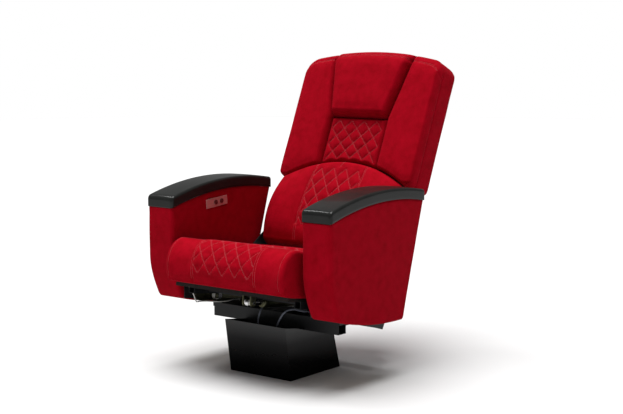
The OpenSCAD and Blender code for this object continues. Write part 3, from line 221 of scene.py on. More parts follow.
RED_DARK = (0.21, 0.0005, 0.004)
RED_LIGHT = (0.345, 0.0014, 0.0105)
mats = {
    "fabric": cloth_material("fabric", RED_DARK, RED_LIGHT),
    "thread": hard_material("thread", (0.37, 0.04, 0.05), (0.47, 0.09, 0.10), (0.6, 0.8), grain=2600, height=0.4),
    "cap": hard_material("cap", (0.0075, 0.008, 0.0075), (0.012, 0.0125, 0.0115), (0.3, 0.42), grain=900,
                         height=0.12, coat=0.22, level=0.07),
    "cover": hard_material("cover", (0.0015, 0.0015, 0.0017), (0.003, 0.003, 0.0032), (0.1, 0.18), grain=140,
                           height=0.04),
    "frame": hard_material("frame", (0.004, 0.004, 0.0045), (0.009, 0.009, 0.01), (0.36, 0.55), grain=500, level=0.22),
    "zinc": hard_material("zinc", (0.055, 0.055, 0.03), (0.11, 0.107, 0.062), (0.3, 0.5), metal=1.0,
                          grain=90, stretch=(1, 6, 6)),
    "pin": hard_material("pin", (0.56, 0.56, 0.57), (0.68, 0.68, 0.69), (0.14, 0.26), metal=1.0, grain=60,
                         stretch=(14, 1, 1)),
    "plywood": plywood_material("plywood"),
    "board": hard_material("board", (0.006, 0.005, 0.004), (0.014, 0.011, 0.009), (0.6, 0.8), grain=60,
                           stretch=(9, 1, 9), height=0.3, level=0.2),
    "nylon": hard_material("nylon", (0.74, 0.72, 0.66), (0.84, 0.82, 0.77), (0.35, 0.5), grain=600),
    "housing": hard_material("housing", (0.018, 0.018, 0.02), (0.032, 0.032, 0.035), (0.5, 0.7), grain=1400,
                             height=0.3),
    "cord": hard_material("cord", (0.10, 0.11, 0.14), (0.16, 0.17, 0.21), (0.4, 0.55), grain=700),
    "lead": hard_material("lead", (0.46, 0.45, 0.43), (0.6, 0.59, 0.56), (0.45, 0.6), grain=700),
    "grommet": hard_material("grommet", (0.012, 0.012, 0.012), (0.022, 0.022, 0.022), (0.6, 0.8), grain=900),
    "bezel": hard_material("bezel", (0.52, 0.35, 0.32), (0.62, 0.44, 0.41), (0.3, 0.42), metal=0.75, grain=40,
                           stretch=(1, 2, 40)),
    "button": hard_material("button", (0.05, 0.012, 0.012), (0.08, 0.02, 0.02), (0.12, 0.22), grain=300,
                            coat=0.5, height=0.05),
}
# Painted shade on the pedestal: its reflection is turned down towards the floor, so that its lower part shows darker
t = mats["cover"].node_tree
painted_shade_height = t.nodes.new("ShaderNodeSeparateXYZ")
t.links.new(object_coords(t), painted_shade_height.inputs[0])
# Height ramp of the painted shade: weak reflection near the floor, full reflection higher up
t.links.new(ramp(t, painted_shade_height.outputs["Z"], [(0.03, (0.012,) * 3), (0.12, (0.1,) * 3), (0.2, (0.4,) * 3)]),
            t.nodes["Principled BSDF"].inputs["Specular IOR Level"])
slots = {p["node"]: p["material_slot"] for p in frame["record"]["subparts"]}


# Meshes
def add_mesh(name, verts, faces, material, uv=None, smooth=True):
    me = bpy.data.meshes.new(name)
    me.from_pydata([tuple(v) for v in np.asarray(verts) * MM], [], [tuple(f) for f in faces])
    me.polygons.foreach_set("use_smooth", [smooth] * len(me.polygons))
    me.materials.append(material)
    if uv is not None:
        layer = me.uv_layers.new(name="weave")
        index = np.zeros(len(me.loops), np.int32)
        me.loops.foreach_get("vertex_index", index)
        layer.data.foreach_set("uv", np.asarray(uv, np.float32)[index].ravel())
    me.validate()
    me.update()
    ob = bpy.data.objects.new(name, me)
    scene.collection.objects.link(ob)
    return ob


def box_uv(ob):
    """Weave coordinates in millimetres, from whichever way each face looks."""
    me = ob.data
    layer = me.uv_layers.get("weave") or me.uv_layers.new(name="weave")
    co = np.array([v.co for v in me.vertices]) / MM
    for p in me.polygons:
        n = np.abs(np.array(p.normal))
        a = (1, 2) if n[0] >= n[1] and n[0] >= n[2] else (0, 2) if n[1] >= n[2] else (0, 1)
        for k in p.loop_indices:
            layer.data[k].uv = co[me.loops[k].vertex_index][list(a)]


def grid_faces(m, n, wrap=False):
    cols = n if wrap else n - 1
    return [(i * n + j, (i + 1) * n + j, (i + 1) * n + (j + 1) % n, i * n + (j + 1) % n)
            for i in range(m - 1) for j in range(cols)]


def grid_uv(P):
    """Lengths along both ways of a grid, so that the weave keeps its size."""
    a = np.zeros(P.shape[:2])
    a[1:] = np.cumsum(np.linalg.norm(np.diff(P, axis=0), axis=2), axis=0)
    a -= a[len(a) // 2]
    b = np.zeros(P.shape[:2])
    b[:, 1:] = np.cumsum(np.linalg.norm(np.diff(P, axis=1), axis=2), axis=1)
    return np.stack([a, b], 2).reshape(-1, 2)


def grid_normals(P, out):
    n = np.cross(np.gradient(P, axis=0), np.gradient(P, axis=1))
    n /= np.maximum(np.linalg.norm(n, axis=2, keepdims=True), 1e-9)
    return n * out


def relax(P, faces, pins, cap, pressure=40.0, slack=0.015, even=0.7, frames=18, name="pad"):
    """Cloth simulation of one cushion's cover, held at its seams and borne by its foam, which lets it rise
    and not sink. It returns the settled points in mm."""
    flat = P.reshape(-1, 3)
    ob = add_mesh("sim_" + name, flat, faces, mats["fabric"])
    group = ob.vertex_groups.new(name="pin")
    group.add([int(k) for k in np.nonzero(pins.ravel())[0]], 1.0, "REPLACE")
    cloth = ob.modifiers.new("Cloth", "CLOTH")
    c = cloth.settings
    c.quality = 6
    c.mass = 0.25
    c.tension_stiffness = c.compression_stiffness = 12
    c.shear_stiffness = 5
    c.bending_stiffness = 1.0
    c.tension_damping = c.compression_damping = 12
    c.air_damping = 2.5
    c.use_pressure = True
    c.uniform_pressure_force = pressure
    c.shrink_min = -slack
    c.vertex_group_mass = "pin"
    c.effector_weights.gravity = 0
    cloth.collision_settings.use_collision = False
    cloth.point_cache.frame_start = 1
    cloth.point_cache.frame_end = frames
    for f in range(1, frames + 1):
        scene.frame_set(f)
    made = ob.evaluated_get(bpy.context.evaluated_depsgraph_get())
    co = np.zeros(len(flat) * 3)
    made.data.vertices.foreach_get("co", co)
    me = ob.data
    bpy.data.objects.remove(ob)
    bpy.data.meshes.remove(me)
    scene.frame_set(1)
    N = grid_normals(P, 1)
    rise = ((co.reshape(P.shape) / MM - P) * N).sum(2)
    rise = np.clip(rise, 0, cap)
    for _ in range(10):
        near = np.pad(rise, 1, mode="edge")
        near = (near[:-2, 1:-1] + near[2:, 1:-1] + near[1:-1, :-2] + near[1:-1, 2:]) / 4
        rise = np.where(pins, 0, mix(rise, near, even))
    return P + N * rise[..., None]


def refine(P, wrap=False):
    """Twice as fine a grid through the same points, with smooth curves between them."""
    for axis in (0, 1):
        if axis == 1 and wrap:
            before, after, far = np.roll(P, 1, 1), np.roll(P, -1, 1), np.roll(P, -2, 1)
            here = P
        else:
            n = P.shape[axis]
            pick = lambda k: np.take(P, np.clip(np.arange(n - 1) + k, 0, n - 1), axis)
            before, here, after, far = pick(-1), pick(0), pick(1), pick(2)
        middle = (9 * (here + after) - before - far) / 16
        shape = list(P.shape)
        shape[axis] = P.shape[axis] + middle.shape[axis]
        out = np.zeros(shape)
        where = [slice(None)] * 3
        where[axis] = slice(0, None, 2)
        out[tuple(where)] = P
        where[axis] = slice(1, None, 2)
        out[tuple(where)] = middle
        P = out
    return P


def finish_pad(ob, body, node):
    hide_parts(node)
    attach(ob, body)
    return ob


def surface_of(ob):
    """Search tree over the finished surface, in metres."""
    me = ob.data
    return BVHTree.FromPolygons([v.co for v in me.vertices], [p.vertices[:] for p in me.polygons])


def sew(name, parent, body, lines, offsets=(0.0,), pitch=4.6, length=3.5, r=0.33, sides=5):
    """Rows of real stitches that lie on the parent's surface, along lines of points in mm."""
    tree = surface_of(parent)
    verts, faces = [], []
    for line in lines:
        line = np.asarray(line, float)
        if len(line) < 2:
            continue
        reach = np.concatenate([[0], np.cumsum(np.linalg.norm(np.diff(line, axis=0), axis=1))])
        count = int(reach[-1] // pitch)
        if count < 1:
            continue
        first = (reach[-1] - count * pitch) / 2 + (pitch - length) / 2
        for off in offsets:
            for k in range(count):
                d = first + k * pitch + np.array([0, 0.12, 0.5, 0.88, 1.0]) * length
                pts = [Vector([np.interp(q, reach, line[:, a]) for a in range(3)]) * MM for q in d]
                along = (pts[-1] - pts[0]).normalized()
                here, normal, _, _ = tree.find_nearest(pts[2])
                if here is None:
                    continue
                side = along.cross(normal).normalized()
                rings = []
                for p, up in zip(pts, (-0.6, 0.25, 0.5, 0.25, -0.6)):
                    q, n, _, _ = tree.find_nearest(p + side * off * MM)
                    rings.append((q + n * up * r * MM, n))
                base = len(verts)
                for q, n in rings:
                    s = along.cross(n).normalized()
                    for a in range(sides):
                        w = 2 * math.pi * a / sides
                        verts.append((q + (n * math.cos(w) + s * math.sin(w)) * r * MM) / MM)
                for g in range(len(rings) - 1):
                    for a in range(sides):
                        b = (a + 1) % sides
                        faces.append((base + g * sides + a, base + g * sides + b,
                                      base + (g + 1) * sides + b, base + (g + 1) * sides + a))
                faces.append(tuple(base + a for a in reversed(range(sides))))
                faces.append(tuple(base + (len(rings) - 1) * sides + a for a in range(sides)))
    ob = add_mesh(name, verts, faces, mats["thread"])
    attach(ob, body)
    return ob


def groove(P, N, near, depth, width):
    """Draws a surface in along a seam: near is each point's distance from it in mm."""
    return P - N * (depth * np.exp(-(near / width) ** 2))[..., None]


def wobble(P, size, amount, seed):
    """Slight unevenness of hand-made upholstery, from seeded noise."""
    out = np.zeros(P.shape[:-1])
    for k in np.ndindex(out.shape):
        out[k] = noise.noise(Vector(P[k]) / size + Vector((seed, 0, -seed)))
    return out * amount


def tuft(i, j, pitch):
    """Height over a diamond of the quilt: 0 on its stitching and 1 in its middle."""
    return (abs(math.sin(math.pi * (i + j) / pitch)) * abs(math.sin(math.pi * (i - j) / pitch))) ** 0.42


def diamond_lines(P, col, row, i_half, j0, j1, pitch):
    """Point lists of the quilt's two families of stitch lines: col(i) and row(j) give grid places."""
    lines = []
    for sign in (1, -1):
        for c in range(-2 * pitch * 8, 2 * pitch * 8, pitch):
            pts = []
            for j in range(j0, j1 + 1):
                i = c - sign * j
                if -i_half < i < i_half:
                    pts.append(P[col(i), row(j)])
                elif len(pts) > 1:
                    lines.append(pts)
                    pts = []
            if len(pts) > 1:
                lines.append(pts)
    return lines


def pillow(name, P, body, node):
    """Closed pad: its shaped front, and a flat back on the board."""
    P = refine(P)
    m, n = P.shape[:2]
    flat = P.reshape(-1, 3)
    rim = ([i * n for i in range(m - 1)] + [(m - 1) * n + j for j in range(n - 1)]
           + [i * n + n - 1 for i in range(m - 1, 0, -1)] + [j for j in range(n - 1, 0, -1)])
    centre = flat[rim].mean(0)
    inner = [mix(flat[k], centre, 0.12) for k in rim]
    verts = np.concatenate([flat, inner, [centre]])
    front = grid_faces(m, n)
    count = len(rim)
    back = []
    for k in range(count):
        a, b = rim[k], rim[(k + 1) % count]
        c, d = m * n + k, m * n + (k + 1) % count
        back.append((b, a, c, d))
        back.append((d, c, m * n + count))
    uv = np.concatenate([grid_uv(P), [[v[0], v[2]] for v in verts[m * n:]]])
    ob = add_mesh(name, verts, front + back, mats["fabric"], uv)
    return finish_pad(ob, body, node)


# Outline of the back, as in the part
CREST, CREST_DROP, WING_HALF, WING_LOW = 655, 33, 287, 165
ARC_TOP, ARC_HALF, BOLSTER_LOW = 235, 250, 403
CENTRE_LOW, CENTRE_TOP = 121, 162


def crest(x):
    return CREST - CREST_DROP * (x / WING_HALF) ** 2


def lumbar_arc(x):
    return mix(ARC_TOP, WING_LOW - 2, (min(abs(x), ARC_HALF) / ARC_HALF) ** 2)


def centre_half(w):
    """Half width of the centre pieces: the bolster widens towards the crest."""
    k = (w - BOLSTER_LOW) / (CREST - CREST_DROP - 16 - BOLSTER_LOW)
    return mix(CENTRE_LOW, CENTRE_TOP, min(1, max(0, k)))


def wing_top(x):
    r = 40
    return crest(x) - (r - math.sqrt(max(0, r * r - (x - WING_HALF + r) ** 2)) if x > WING_HALF - r else 0)


def wing_low(x):
    r = 20
    return (max(WING_LOW, lumbar_arc(x) + 0.6)
            + (r - math.sqrt(max(0, r * r - (x - WING_HALF + r) ** 2)) if x > WING_HALF - r else 0))


# Grid points per quarter diamond of the quilting, and offsets of the rows of stitches from their lines
FINE = 3
PITCH = 4 * FINE
QUILT_ROWS = (-1.6, 1.6)
INSERT_ROWS = (-4.0, 4.0)
TOP_ROWS = (-2.8, 2.8)


# Lumbar cushion with a quilted insert, a short seam at its top and an arched crest
def make_lumbar():
    half, low, deep, depth = 251, -100, 10, 92
    insert, rows, side_r, top_r, low_r = 104, 16, 12, 16, 24
    span = half - insert
    side = arc_steps(side_r, 5) + [mix(side_r, span, k / 27) for k in range(27)]
    xs = [(d - half, None) for d in side]
    xs += [(insert * i / (8 * FINE), i) for i in range(-8 * FINE, 8 * FINE + 1)]
    xs += [(half - d, None) for d in reversed(side)]
    q_end = ARC_TOP - low
    low_n, top_n = 7, 6
    qs = arc_steps(low_r, low_n)
    qs += [mix(low_r, q_end - top_r, k / (rows * FINE)) for k in range(rows * FINE + 1)]
    qs += [q_end - d for d in reversed(arc_steps(top_r, top_n))]
    j_of = lambda b: b - low_n + 3 * FINE
    j_top = 18 * FINE
    P = np.zeros((len(xs), len(qs), 3))
    pins = np.zeros(P.shape[:2], bool)
    cap = np.zeros(P.shape[:2])
    for a, (x, i) in enumerate(xs):
        top = lumbar_arc(x)
        for b, q in enumerate(qs):
            w = mix(low, top, q / q_end)
            rounded = edge(half - abs(x), side_r) * edge(w - low, low_r) * edge(top - w, top_r)
            if w > deep:
                body = depth * (1 - 0.48 * ((w - deep) / (top - deep)) ** 2)
            else:
                body = depth * (1 - 0.22 * ((w - deep) / (deep - low)) ** 2)
            j = j_of(b)
            near = abs(abs(x) - insert)
            sewn = 3.6 * math.exp(-(near / 4.5) ** 2) if w > -20 else 0
            sewn += 2.6 * math.exp(-(x / 3.5) ** 2) if j > j_top and top - w > 6 else 0
            if i is not None and abs(i) < 8 * FINE and 6 * FINE <= j <= j_top:
                ends = min(1, (8 * FINE - abs(i)) / 3, 1)
                sewn += (2.6 - 4.6 * tuft(i, j, PITCH)) * ends
                pins[a, b] = (i + j) % PITCH == 0 or (i - j) % PITCH == 0
            if i is not None and abs(i) == 8 * FINE and w > -20:
                pins[a, b] = True
            belly = 1 + 0.024 * math.sin(math.pi * q / q_end) * min(1, 3 * rounded)
            P[a, b] = on_back(x * belly, BOARD_V - (body - sewn) * rounded, w)
            free = min(1, (half - abs(x)) / 40, (w - low) / 60, (top - w) / 34)
            cap[a, b] = smooth(free) * (7 if i is None else 3.5)
    pins |= cap < 0.4
    N = grid_normals(P, 1)
    P = P + N * (wobble(P, 70, 1.2, 3) * np.minimum(1, cap / 4))[..., None]
    quilted = np.array([i is not None for x, i in xs])[:, None]
    P = relax(P, grid_faces(len(xs), len(qs)), pins, cap, 24, 0.012, np.where(quilted, 0.12, 0.75), name="lumbar")
    ob = pillow("lumbar_cushion_soft", P, "back", "lumbar_cushion")
    c0 = len(side) + 8 * FINE
    lines = diamond_lines(P, lambda i: c0 + i, lambda j: j - 3 * FINE + low_n, 8 * FINE, 6 * FINE, j_top, PITCH)
    sew("lumbar_quilting", ob, "back", lines, QUILT_ROWS)
    seams = [P[c0 + s * 8 * FINE, low_n:-3] for s in (-1, 1)]
    sew("lumbar_seam_stitching", ob, "back", seams, INSERT_ROWS)
    sew("lumbar_top_seam", ob, "back", [P[c0, j_top - 3 * FINE + low_n:-3]], (-2.6, 2.6))


# Quilted centre panel above the lumbar cushion
def make_panel():
    half, r, depth, rows = 120.7, 14, 26, 10
    xs = [(d - half, None) for d in arc_steps(r, 5)]
    xs += [((half - r) * i / (8 * FINE), i) for i in range(-8 * FINE, 8 * FINE + 1)]
    xs += [(half - d, None) for d in reversed(arc_steps(r, 5))]
    edge_n = 5
    count = 2 * edge_n + rows * FINE + 1
    P = np.zeros((len(xs), count, 3))
    pins = np.zeros(P.shape[:2], bool)
    cap = np.zeros(P.shape[:2])
    for a, (x, i) in enumerate(xs):
        low, top = lumbar_arc(x) + 0.6, BOLSTER_LOW - 0.6
        ws = ([low + d for d in arc_steps(r, edge_n)]
              + [mix(low + r, top - r, k / (rows * FINE)) for k in range(rows * FINE + 1)]
              + [top - d for d in reversed(arc_steps(r, edge_n))])
        for b, w in enumerate(ws):
            j = b - edge_n
            rounded = edge(half - abs(x), r) * edge(w - low, r) * edge(top - w, r)
            sewn = 0
            if i is not None and 0 <= j <= rows * FINE:
                sewn = 2.6 - 4.4 * tuft(i, j, PITCH)
                pins[a, b] = (i + j) % PITCH == 0 or (i - j) % PITCH == 0
            P[a, b] = on_back(x, BOARD_V - (depth - sewn) * rounded, w)
            free = min(1, (half - abs(x)) / 24, (w - low) / 24, (top - w) / 24)
            cap[a, b] = smooth(free) * 3.5
    pins |= cap < 0.4
    P = relax(P, grid_faces(len(xs), count), pins, cap, 30, 0.015, 0.12, name="panel")
    ob = pillow("quilt_panel_soft", P, "back", "quilt_panel")
    c0 = 5 + 8 * FINE
    lines = diamond_lines(P, lambda i: c0 + i, lambda j: j + edge_n, 8 * FINE + 1, 0, rows * FINE, PITCH)
    sew("panel_quilting", ob, "back", lines, QUILT_ROWS)


# Head bolster: a roll at its lower edge, a seam along its top edge and a boxing band behind it
TOP_SEAM = 27


def make_bolster():
    low_r, top_r, side_r, depth, space = 22, 52, 20, 54, 1.5
    q_end = CREST - BOLSTER_LOW
    ss = steps(side_r, side_r, 2 * CENTRE_LOW, 7, 7, 38)
    qs = steps(low_r, top_r, q_end, 8, 11, 32)
    P = np.zeros((len(ss), len(qs), 3))
    near = np.zeros(P.shape[:2])
    cap = np.zeros(P.shape[:2])
    for a, s in enumerate(ss):
        for b, q in enumerate(qs):
            first = centre_half(mix(BOLSTER_LOW, crest(CENTRE_LOW), q / q_end))
            half = centre_half(mix(BOLSTER_LOW, crest(first), q / q_end)) - space
            x = mix(-half, half, s / (2 * CENTRE_LOW))
            w = mix(BOLSTER_LOW, crest(x), q / q_end)
            rounded = edge(half - abs(x), side_r) * edge(w - BOLSTER_LOW, low_r) * edge(crest(x) - w, top_r)
            P[a, b] = on_back(x, BOARD_V - depth * rounded, w)
            near[a, b] = crest(x) - w - TOP_SEAM
            free = min(1, (half - abs(x)) / 34, (w - BOLSTER_LOW) / 40, (crest(x) - w) / 60)
            cap[a, b] = smooth(free) * 5.5
    N = grid_normals(P, 1)
    P = groove(P, N, near, 2.6, 4.0)
    P = P + N * (wobble(P, 70, 1.2, 7) * np.minimum(1, cap / 4))[..., None]
    pins = (cap < 0.4) | (np.abs(near) < 3)
    P = relax(P, grid_faces(*P.shape[:2]), pins, cap, 16, 0.006, name="bolster")
    ob = pillow("head_bolster_soft", P, "back", "head_bolster")
    row = int(np.argmin(np.abs(near[len(ss) // 2])))
    sew("bolster_seam", ob, "back", [P[3:-3, row]], TOP_ROWS)


# Wings: one pad on each side of the centre pieces
def make_wing(side):
    depth, groove_r, low_r, welt_r, roll_r = 38, 18, 15, 9, 52
    s_end, q_end = WING_HALF - CENTRE_LOW, CREST - WING_LOW
    ss = steps(groove_r, welt_r, s_end, 6, 4, 24)
    qs = steps(low_r, roll_r, q_end, 6, 11, 70)
    P = np.zeros((len(ss), len(qs), 3))
    near = np.zeros(P.shape[:2])
    cap = np.zeros(P.shape[:2])
    for a, s in enumerate(ss):
        for b, q in enumerate(qs):
            first = centre_half(mix(wing_low(CENTRE_LOW), wing_top(CENTRE_LOW), q / q_end))
            inner = centre_half(mix(wing_low(first), wing_top(first), q / q_end)) + 0.3
            x = mix(inner, WING_HALF, s / s_end)
            low, top = wing_low(x), wing_top(x)
            w = mix(low, top, q / q_end)
            rounded = (edge(x - inner, groove_r) * edge(WING_HALF - x, welt_r)
                       * edge(w - low, low_r) * edge(top - w, roll_r))
            P[a, b] = on_back(side * x, BOARD_V - depth * rounded, w)
            near[a, b] = top - w - TOP_SEAM
            free = min(1, (x - inner) / 26, (WING_HALF - x) / 20, (w - low) / 30, (top - w) / 60)
            cap[a, b] = smooth(free) * 5
    N = grid_normals(P, side)
    P = groove(P, N, near, 2.2, 4.0)
    P = P + N * (wobble(P, 75, 1.3, 11 + side) * np.minimum(1, cap / 4))[..., None]
    pins = (cap < 0.4) | (np.abs(near) < 3)
    if side < 0:
        P, near, cap, pins = P[::-1], near[::-1], cap[::-1], pins[::-1]
    name = "left" if side > 0 else "right"
    P = relax(P, grid_faces(*P.shape[:2]), pins, cap, 14, 0.006, name="wing_" + name)
    ob = pillow("wing_%s_soft" % name, P, "back", "wing_" + name)
    row = int(np.argmin(np.abs(near[len(ss) // 2])))
    sew("wing_%s_seam" % name, ob, "back", [P[4:-4, row]], TOP_ROWS)


# Seat cushion: its insert runs over the front edge
def make_seat():
    rear_u, front_u, rear_h, crown_h = 142, 306, 131, 146
    nose_back, nose_up, nose = 44, 62, 25
    half, side_r, rear_r, insert = 245, 10, 12, 130

    def top(u):
        k = (rear_u - u) / (rear_u + front_u - nose_back)
        return mix(rear_h, crown_h, max(0, k) ** 1.5)

    def nose_point(a):
        a = math.radians(a)
        return (nose_back - front_u + (nose_back + nose) * math.cos(a), nose_up + (crown_h - nose_up) * math.sin(a))

    prof = [(rear_u, mix(0, rear_h - rear_r, k / 12), None) for k in range(12)]
    prof += [(rear_u - rear_r + rear_r * math.cos(a), top(rear_u) - rear_r + rear_r * math.sin(a), None)
             for a in (math.pi / 2 * k / 6 for k in range(7))]
    back_rows = 16 * FINE
    start = -150 + 16 * (back_rows / FINE)
    prof += [(mix(rear_u - rear_r, start, k / 3), top(mix(rear_u - rear_r, start, k / 3)), None) for k in (1, 2)]
    prof += [(u, top(u), j) for u, j in ((-150 - 16 * j / FINE, j) for j in range(-back_rows, 7 * FINE))]
    prof += [(*nose_point(mix(90, 195, k / (9 * FINE))), 7 * FINE + k) for k in range(9 * FINE + 1)]
    prof += [(p[0], max(0, p[1]), None) for p in (nose_point(mix(195, 223, k / 7)) for k in range(1, 8))]
    prof += [(mix(-front_u, rear_u, k / 14), 0, None) for k in range(1, 14)]
    j_end = 16 * FINE

    span = half - insert
    side = arc_steps(side_r, 5) + [mix(side_r, span, k / 21) for k in range(21)]
    xs = [(d - half, None) for d in side]
    xs += [(insert * i / (10 * FINE), i) for i in range(-10 * FINE, 10 * FINE + 1)]
    xs += [(half - d, None) for d in reversed(side)]
    P = np.zeros((len(xs), len(prof), 3))
    pins = np.zeros(P.shape[:2], bool)
    cap = np.zeros(P.shape[:2])
    mid_u, mid_v = (rear_u - front_u) / 2, crown_h / 2
    for a, (x, i) in enumerate(xs):
        e = side_r * (1 - edge(half - abs(x), side_r))
        crown = 5 * (1 - (x / half) ** 2)
        for b, (pu, pv, j) in enumerate(prof):
            away = (pu - mid_u, pv - mid_v)
            g = 0
            if pv > 0:
                g += 3.6 * math.exp(-((abs(x) - insert) / 4.5) ** 2) if pv > 8 and b > 14 else 0
                g += 2.4 * math.exp(-((half - 15 - abs(x)) / 3.2) ** 2) if b > 14 else 0
            if i is not None and j is not None and abs(i) < 10 * FINE:
                ends = min(1, (10 * FINE - abs(i)) / 3, (j_end + 1 - j) / 3)
                g += (2.6 - 4.6 * tuft(i, j, PITCH)) * ends
                pins[a, b] = (i + j) % PITCH == 0 or (i - j) % PITCH == 0
            if i is not None and abs(i) == 10 * FINE and pv > 8:
                pins[a, b] = True
            k = 1 - g / math.hypot(*away)
            u = mid_u + away[0] * k * (1 - e / (rear_u + front_u) * 2)
            v = (mid_v + away[1] * k) * (1 - e / crown_h) + crown * pv / crown_h
            P[a, b] = on_seat(x, u, 0 if pv == 0 else v)
            free = min(1, (half - 15 - abs(x)) / 30, pv / 60, (rear_u - 10 - pu) / 60)
            cap[a, b] = smooth(free) * (6 if j is None or i is None else 3.2)
            pins[a, b] |= abs(abs(x) - (half - 15)) < 3 and pv > 0
    pins |= cap < 0.3
    N = grid_normals(P, 1)
    P = P + N * (wobble(P, 70, 1.2, 21) * np.minimum(1, cap / 4))[..., None]
    m, n = P.shape[:2]
    quilted = np.array([i is not None for x, i in xs])[:, None]
    P = relax(P, grid_faces(m, n, True), pins, cap, 24, 0.012, np.where(quilted, 0.12, 0.75), name="seat")
    # Side panels: rings that draw in to the middle of each end, with a slight crown
    coarse = P
    P = refine(P, True)
    m, n = P.shape[:2]
    verts = [P.reshape(-1, 3)]
    faces = grid_faces(m, n, True)
    uv = [grid_uv(P)]
    total = m * n
    for end, out in ((0, -1), (m - 1, 1)):
        ring = P[end]
        centre = ring.mean(0)
        last = [end * n + j for j in range(n)]
        for k in range(1, 9):
            r = 1 - k / 9
            pts = centre + (ring - centre) * r
            pts[:, 0] += out * 1.6 * math.sin(math.pi / 2 * min(1, 3 * (1 - r)))
            verts.append(pts)
            uv.append(pts[:, 1:])
            now = [total + j for j in range(n)]
            for j in range(n):
                q = (last[j], last[(j + 1) % n], now[(j + 1) % n], now[j])
                faces.append(q if out < 0 else q[::-1])
            last = now
            total += n
        verts.append([centre + [out * 1.6, 0, 0]])
        uv.append([centre[1:]])
        for j in range(n):
            q = (last[j], last[(j + 1) % n], total)
            faces.append(q if out < 0 else q[::-1])
        total += 1
    ob = add_mesh("seat_cushion_soft", np.concatenate(verts), faces, mats["fabric"], np.concatenate(uv))
    finish_pad(ob, "seat", "seat_cushion")
    P = coarse
    c0 = len(side) + 10 * FINE
    r0 = next(b for b, p in enumerate(prof) if p[2] is not None)
    lines = diamond_lines(P, lambda i: c0 + i, lambda j: r0 + back_rows + j, 10 * FINE, -back_rows, j_end, PITCH)
    sew("seat_quilting", ob, "seat", lines, QUILT_ROWS)
    last = r0 + back_rows + j_end + 5
    sew("seat_insert_stitching", ob, "seat", [P[c0 + s * 10 * FINE, r0:last] for s in (-1, 1)], INSERT_ROWS)
    edges = [a for a, (x, i) in enumerate(xs) if abs(abs(x) - (half - 15)) < 3]
    sew("seat_edge_stitching", ob, "seat", [P[a, r0 - 6:last] for a in (edges[0], edges[-1])], (-3.4,))


# Arms: fabric over the plywood cores
ARM_CX, ARM_HALF = 326.5, 56.5


def arm_under(y):
    return 193 + (y - 110) ** 2 / (2 * 1174)


def cap_top(y):
    return 625.5 - 1100 + math.sqrt(1100 ** 2 - (y - 55) ** 2)


def arm_over(y):
    return cap_top(y) - 37


TOE_LOW = arm_under(46 - 256)


def arm_front_y(z):
    return -256 + (46 * ((380 - z) / (380 - TOE_LOW)) ** 2 if z < 380 else 0)


def arm_rear_y(z):
    return mix(139, 250, (z - 193) / (arm_over(250) - 193))


def arm_ring(s, e, r0, r1, crown, corner, sides, ends):
    z0 = mix(TOE_LOW, arm_over(-256), s)
    z1 = mix(arm_under(139), arm_over(250), s)
    y0, y1 = arm_front_y(z0) + e, arm_rear_y(z1) - e
    half = ARM_HALF - e
    right = [(half - r0 + r0 * math.sin(a), y0 + r0 - r0 * math.cos(a))
             for a in (math.pi / 2 * k / corner for k in range(corner + 1))]
    right += [(half, mix(y0 + r0, y1 - r1, k / sides)) for k in range(1, sides)]
    right += [(half - r1 + r1 * math.cos(a), y1 - r1 + r1 * math.sin(a))
              for a in (math.pi / 2 * k / corner for k in range(corner + 1))]
    left = [(-x, y) for x, y in reversed(right)]
    tail = [(mix(right[-1][0], left[0][0], k / ends), right[-1][1]) for k in range(1, ends)]
    nose = [(mix(left[-1][0], right[0][0], k / ends), right[0][1]) for k in range(1, ends)]
    ring = []
    for x, y in right + tail + left + nose:
        bulge = crown * math.sin(math.pi * s) * math.sin(math.pi * (y - y0) / (y1 - y0)) if x > 0 else 0
        ring.append((x + bulge, y, mix(arm_under(y), arm_over(y), s)))
    return ring


def make_arm(side):
    name = "left" if side > 0 else "right"
    corner, sides, ends = 8, 44, 8
    levels = 44
    outer = [arm_ring(0, 6, 9, 5, 0, corner, sides, ends), arm_ring(0.002, 3.2, 11, 8, 0, corner, sides, ends),
             arm_ring(0.008, 1.5, 13, 11, 0, corner, sides, ends),
             arm_ring(0.016, 0.5, 13, 11, 0, corner, sides, ends)]
    outer += [arm_ring(mix(0.026, 1, k / levels), 0, 13, 11, 4, corner, sides, ends) for k in range(levels + 1)]
    inner = [arm_ring(k / 6, 12, 1, 1, 0, corner, sides, ends) for k in range(6, -1, -1)]
    rings = np.array(outer + inner)
    P = rings.copy()
    n_out = len(outer)
    N = grid_normals(rings[:n_out], -1)
    w = wobble(rings[:n_out], 90, 0.9, 31 + side)
    fade = np.ones(w.shape)
    fade[:4] = 0
    fade[-3:] = 0
    flat = rings[:n_out, :, 0] < 0
    P[:n_out] += N * (w * fade * np.where(flat, 0.0, 1.0))[..., None]
    P[..., 0] = side * (P[..., 0] + ARM_CX)
    if side < 0:
        P = P[:, ::-1]
    m, n = P.shape[:2]
    faces = grid_faces(m, n, True)
    faces += [((m - 1) * n + j, j, (j + 1) % n, (m - 1) * n + (j + 1) % n) for j in range(n)]
    ob = add_mesh("arm_pad_%s_soft" % name, P.reshape(-1, 3), faces, mats["fabric"])
    if side < 0:
        lo, hi = (np.array(p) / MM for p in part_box("switch_housing"))
        lo, hi = lo - 0.4, hi + 0.4
        corners = [(x, y, z) for x in (lo[0], -262) for y in (lo[1], hi[1]) for z in (lo[2], hi[2])]
        cutter = add_mesh("switch_cutter", corners, [(0, 1, 3, 2), (4, 6, 7, 5), (0, 4, 5, 1), (2, 3, 7, 6),
                                                     (0, 2, 6, 4), (1, 5, 7, 3)], mats["fabric"])
        cut = ob.modifiers.new("Cut", "BOOLEAN")
        cut.operation = "DIFFERENCE"
        cut.object = cutter
        me = bpy.data.meshes.new_from_object(ob.evaluated_get(bpy.context.evaluated_depsgraph_get()))
        ob.modifiers.clear()
        ob.data = me
        bpy.data.objects.remove(cutter)
    box_uv(ob)
    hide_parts("arm_pad_" + name)
    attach(ob, "base")


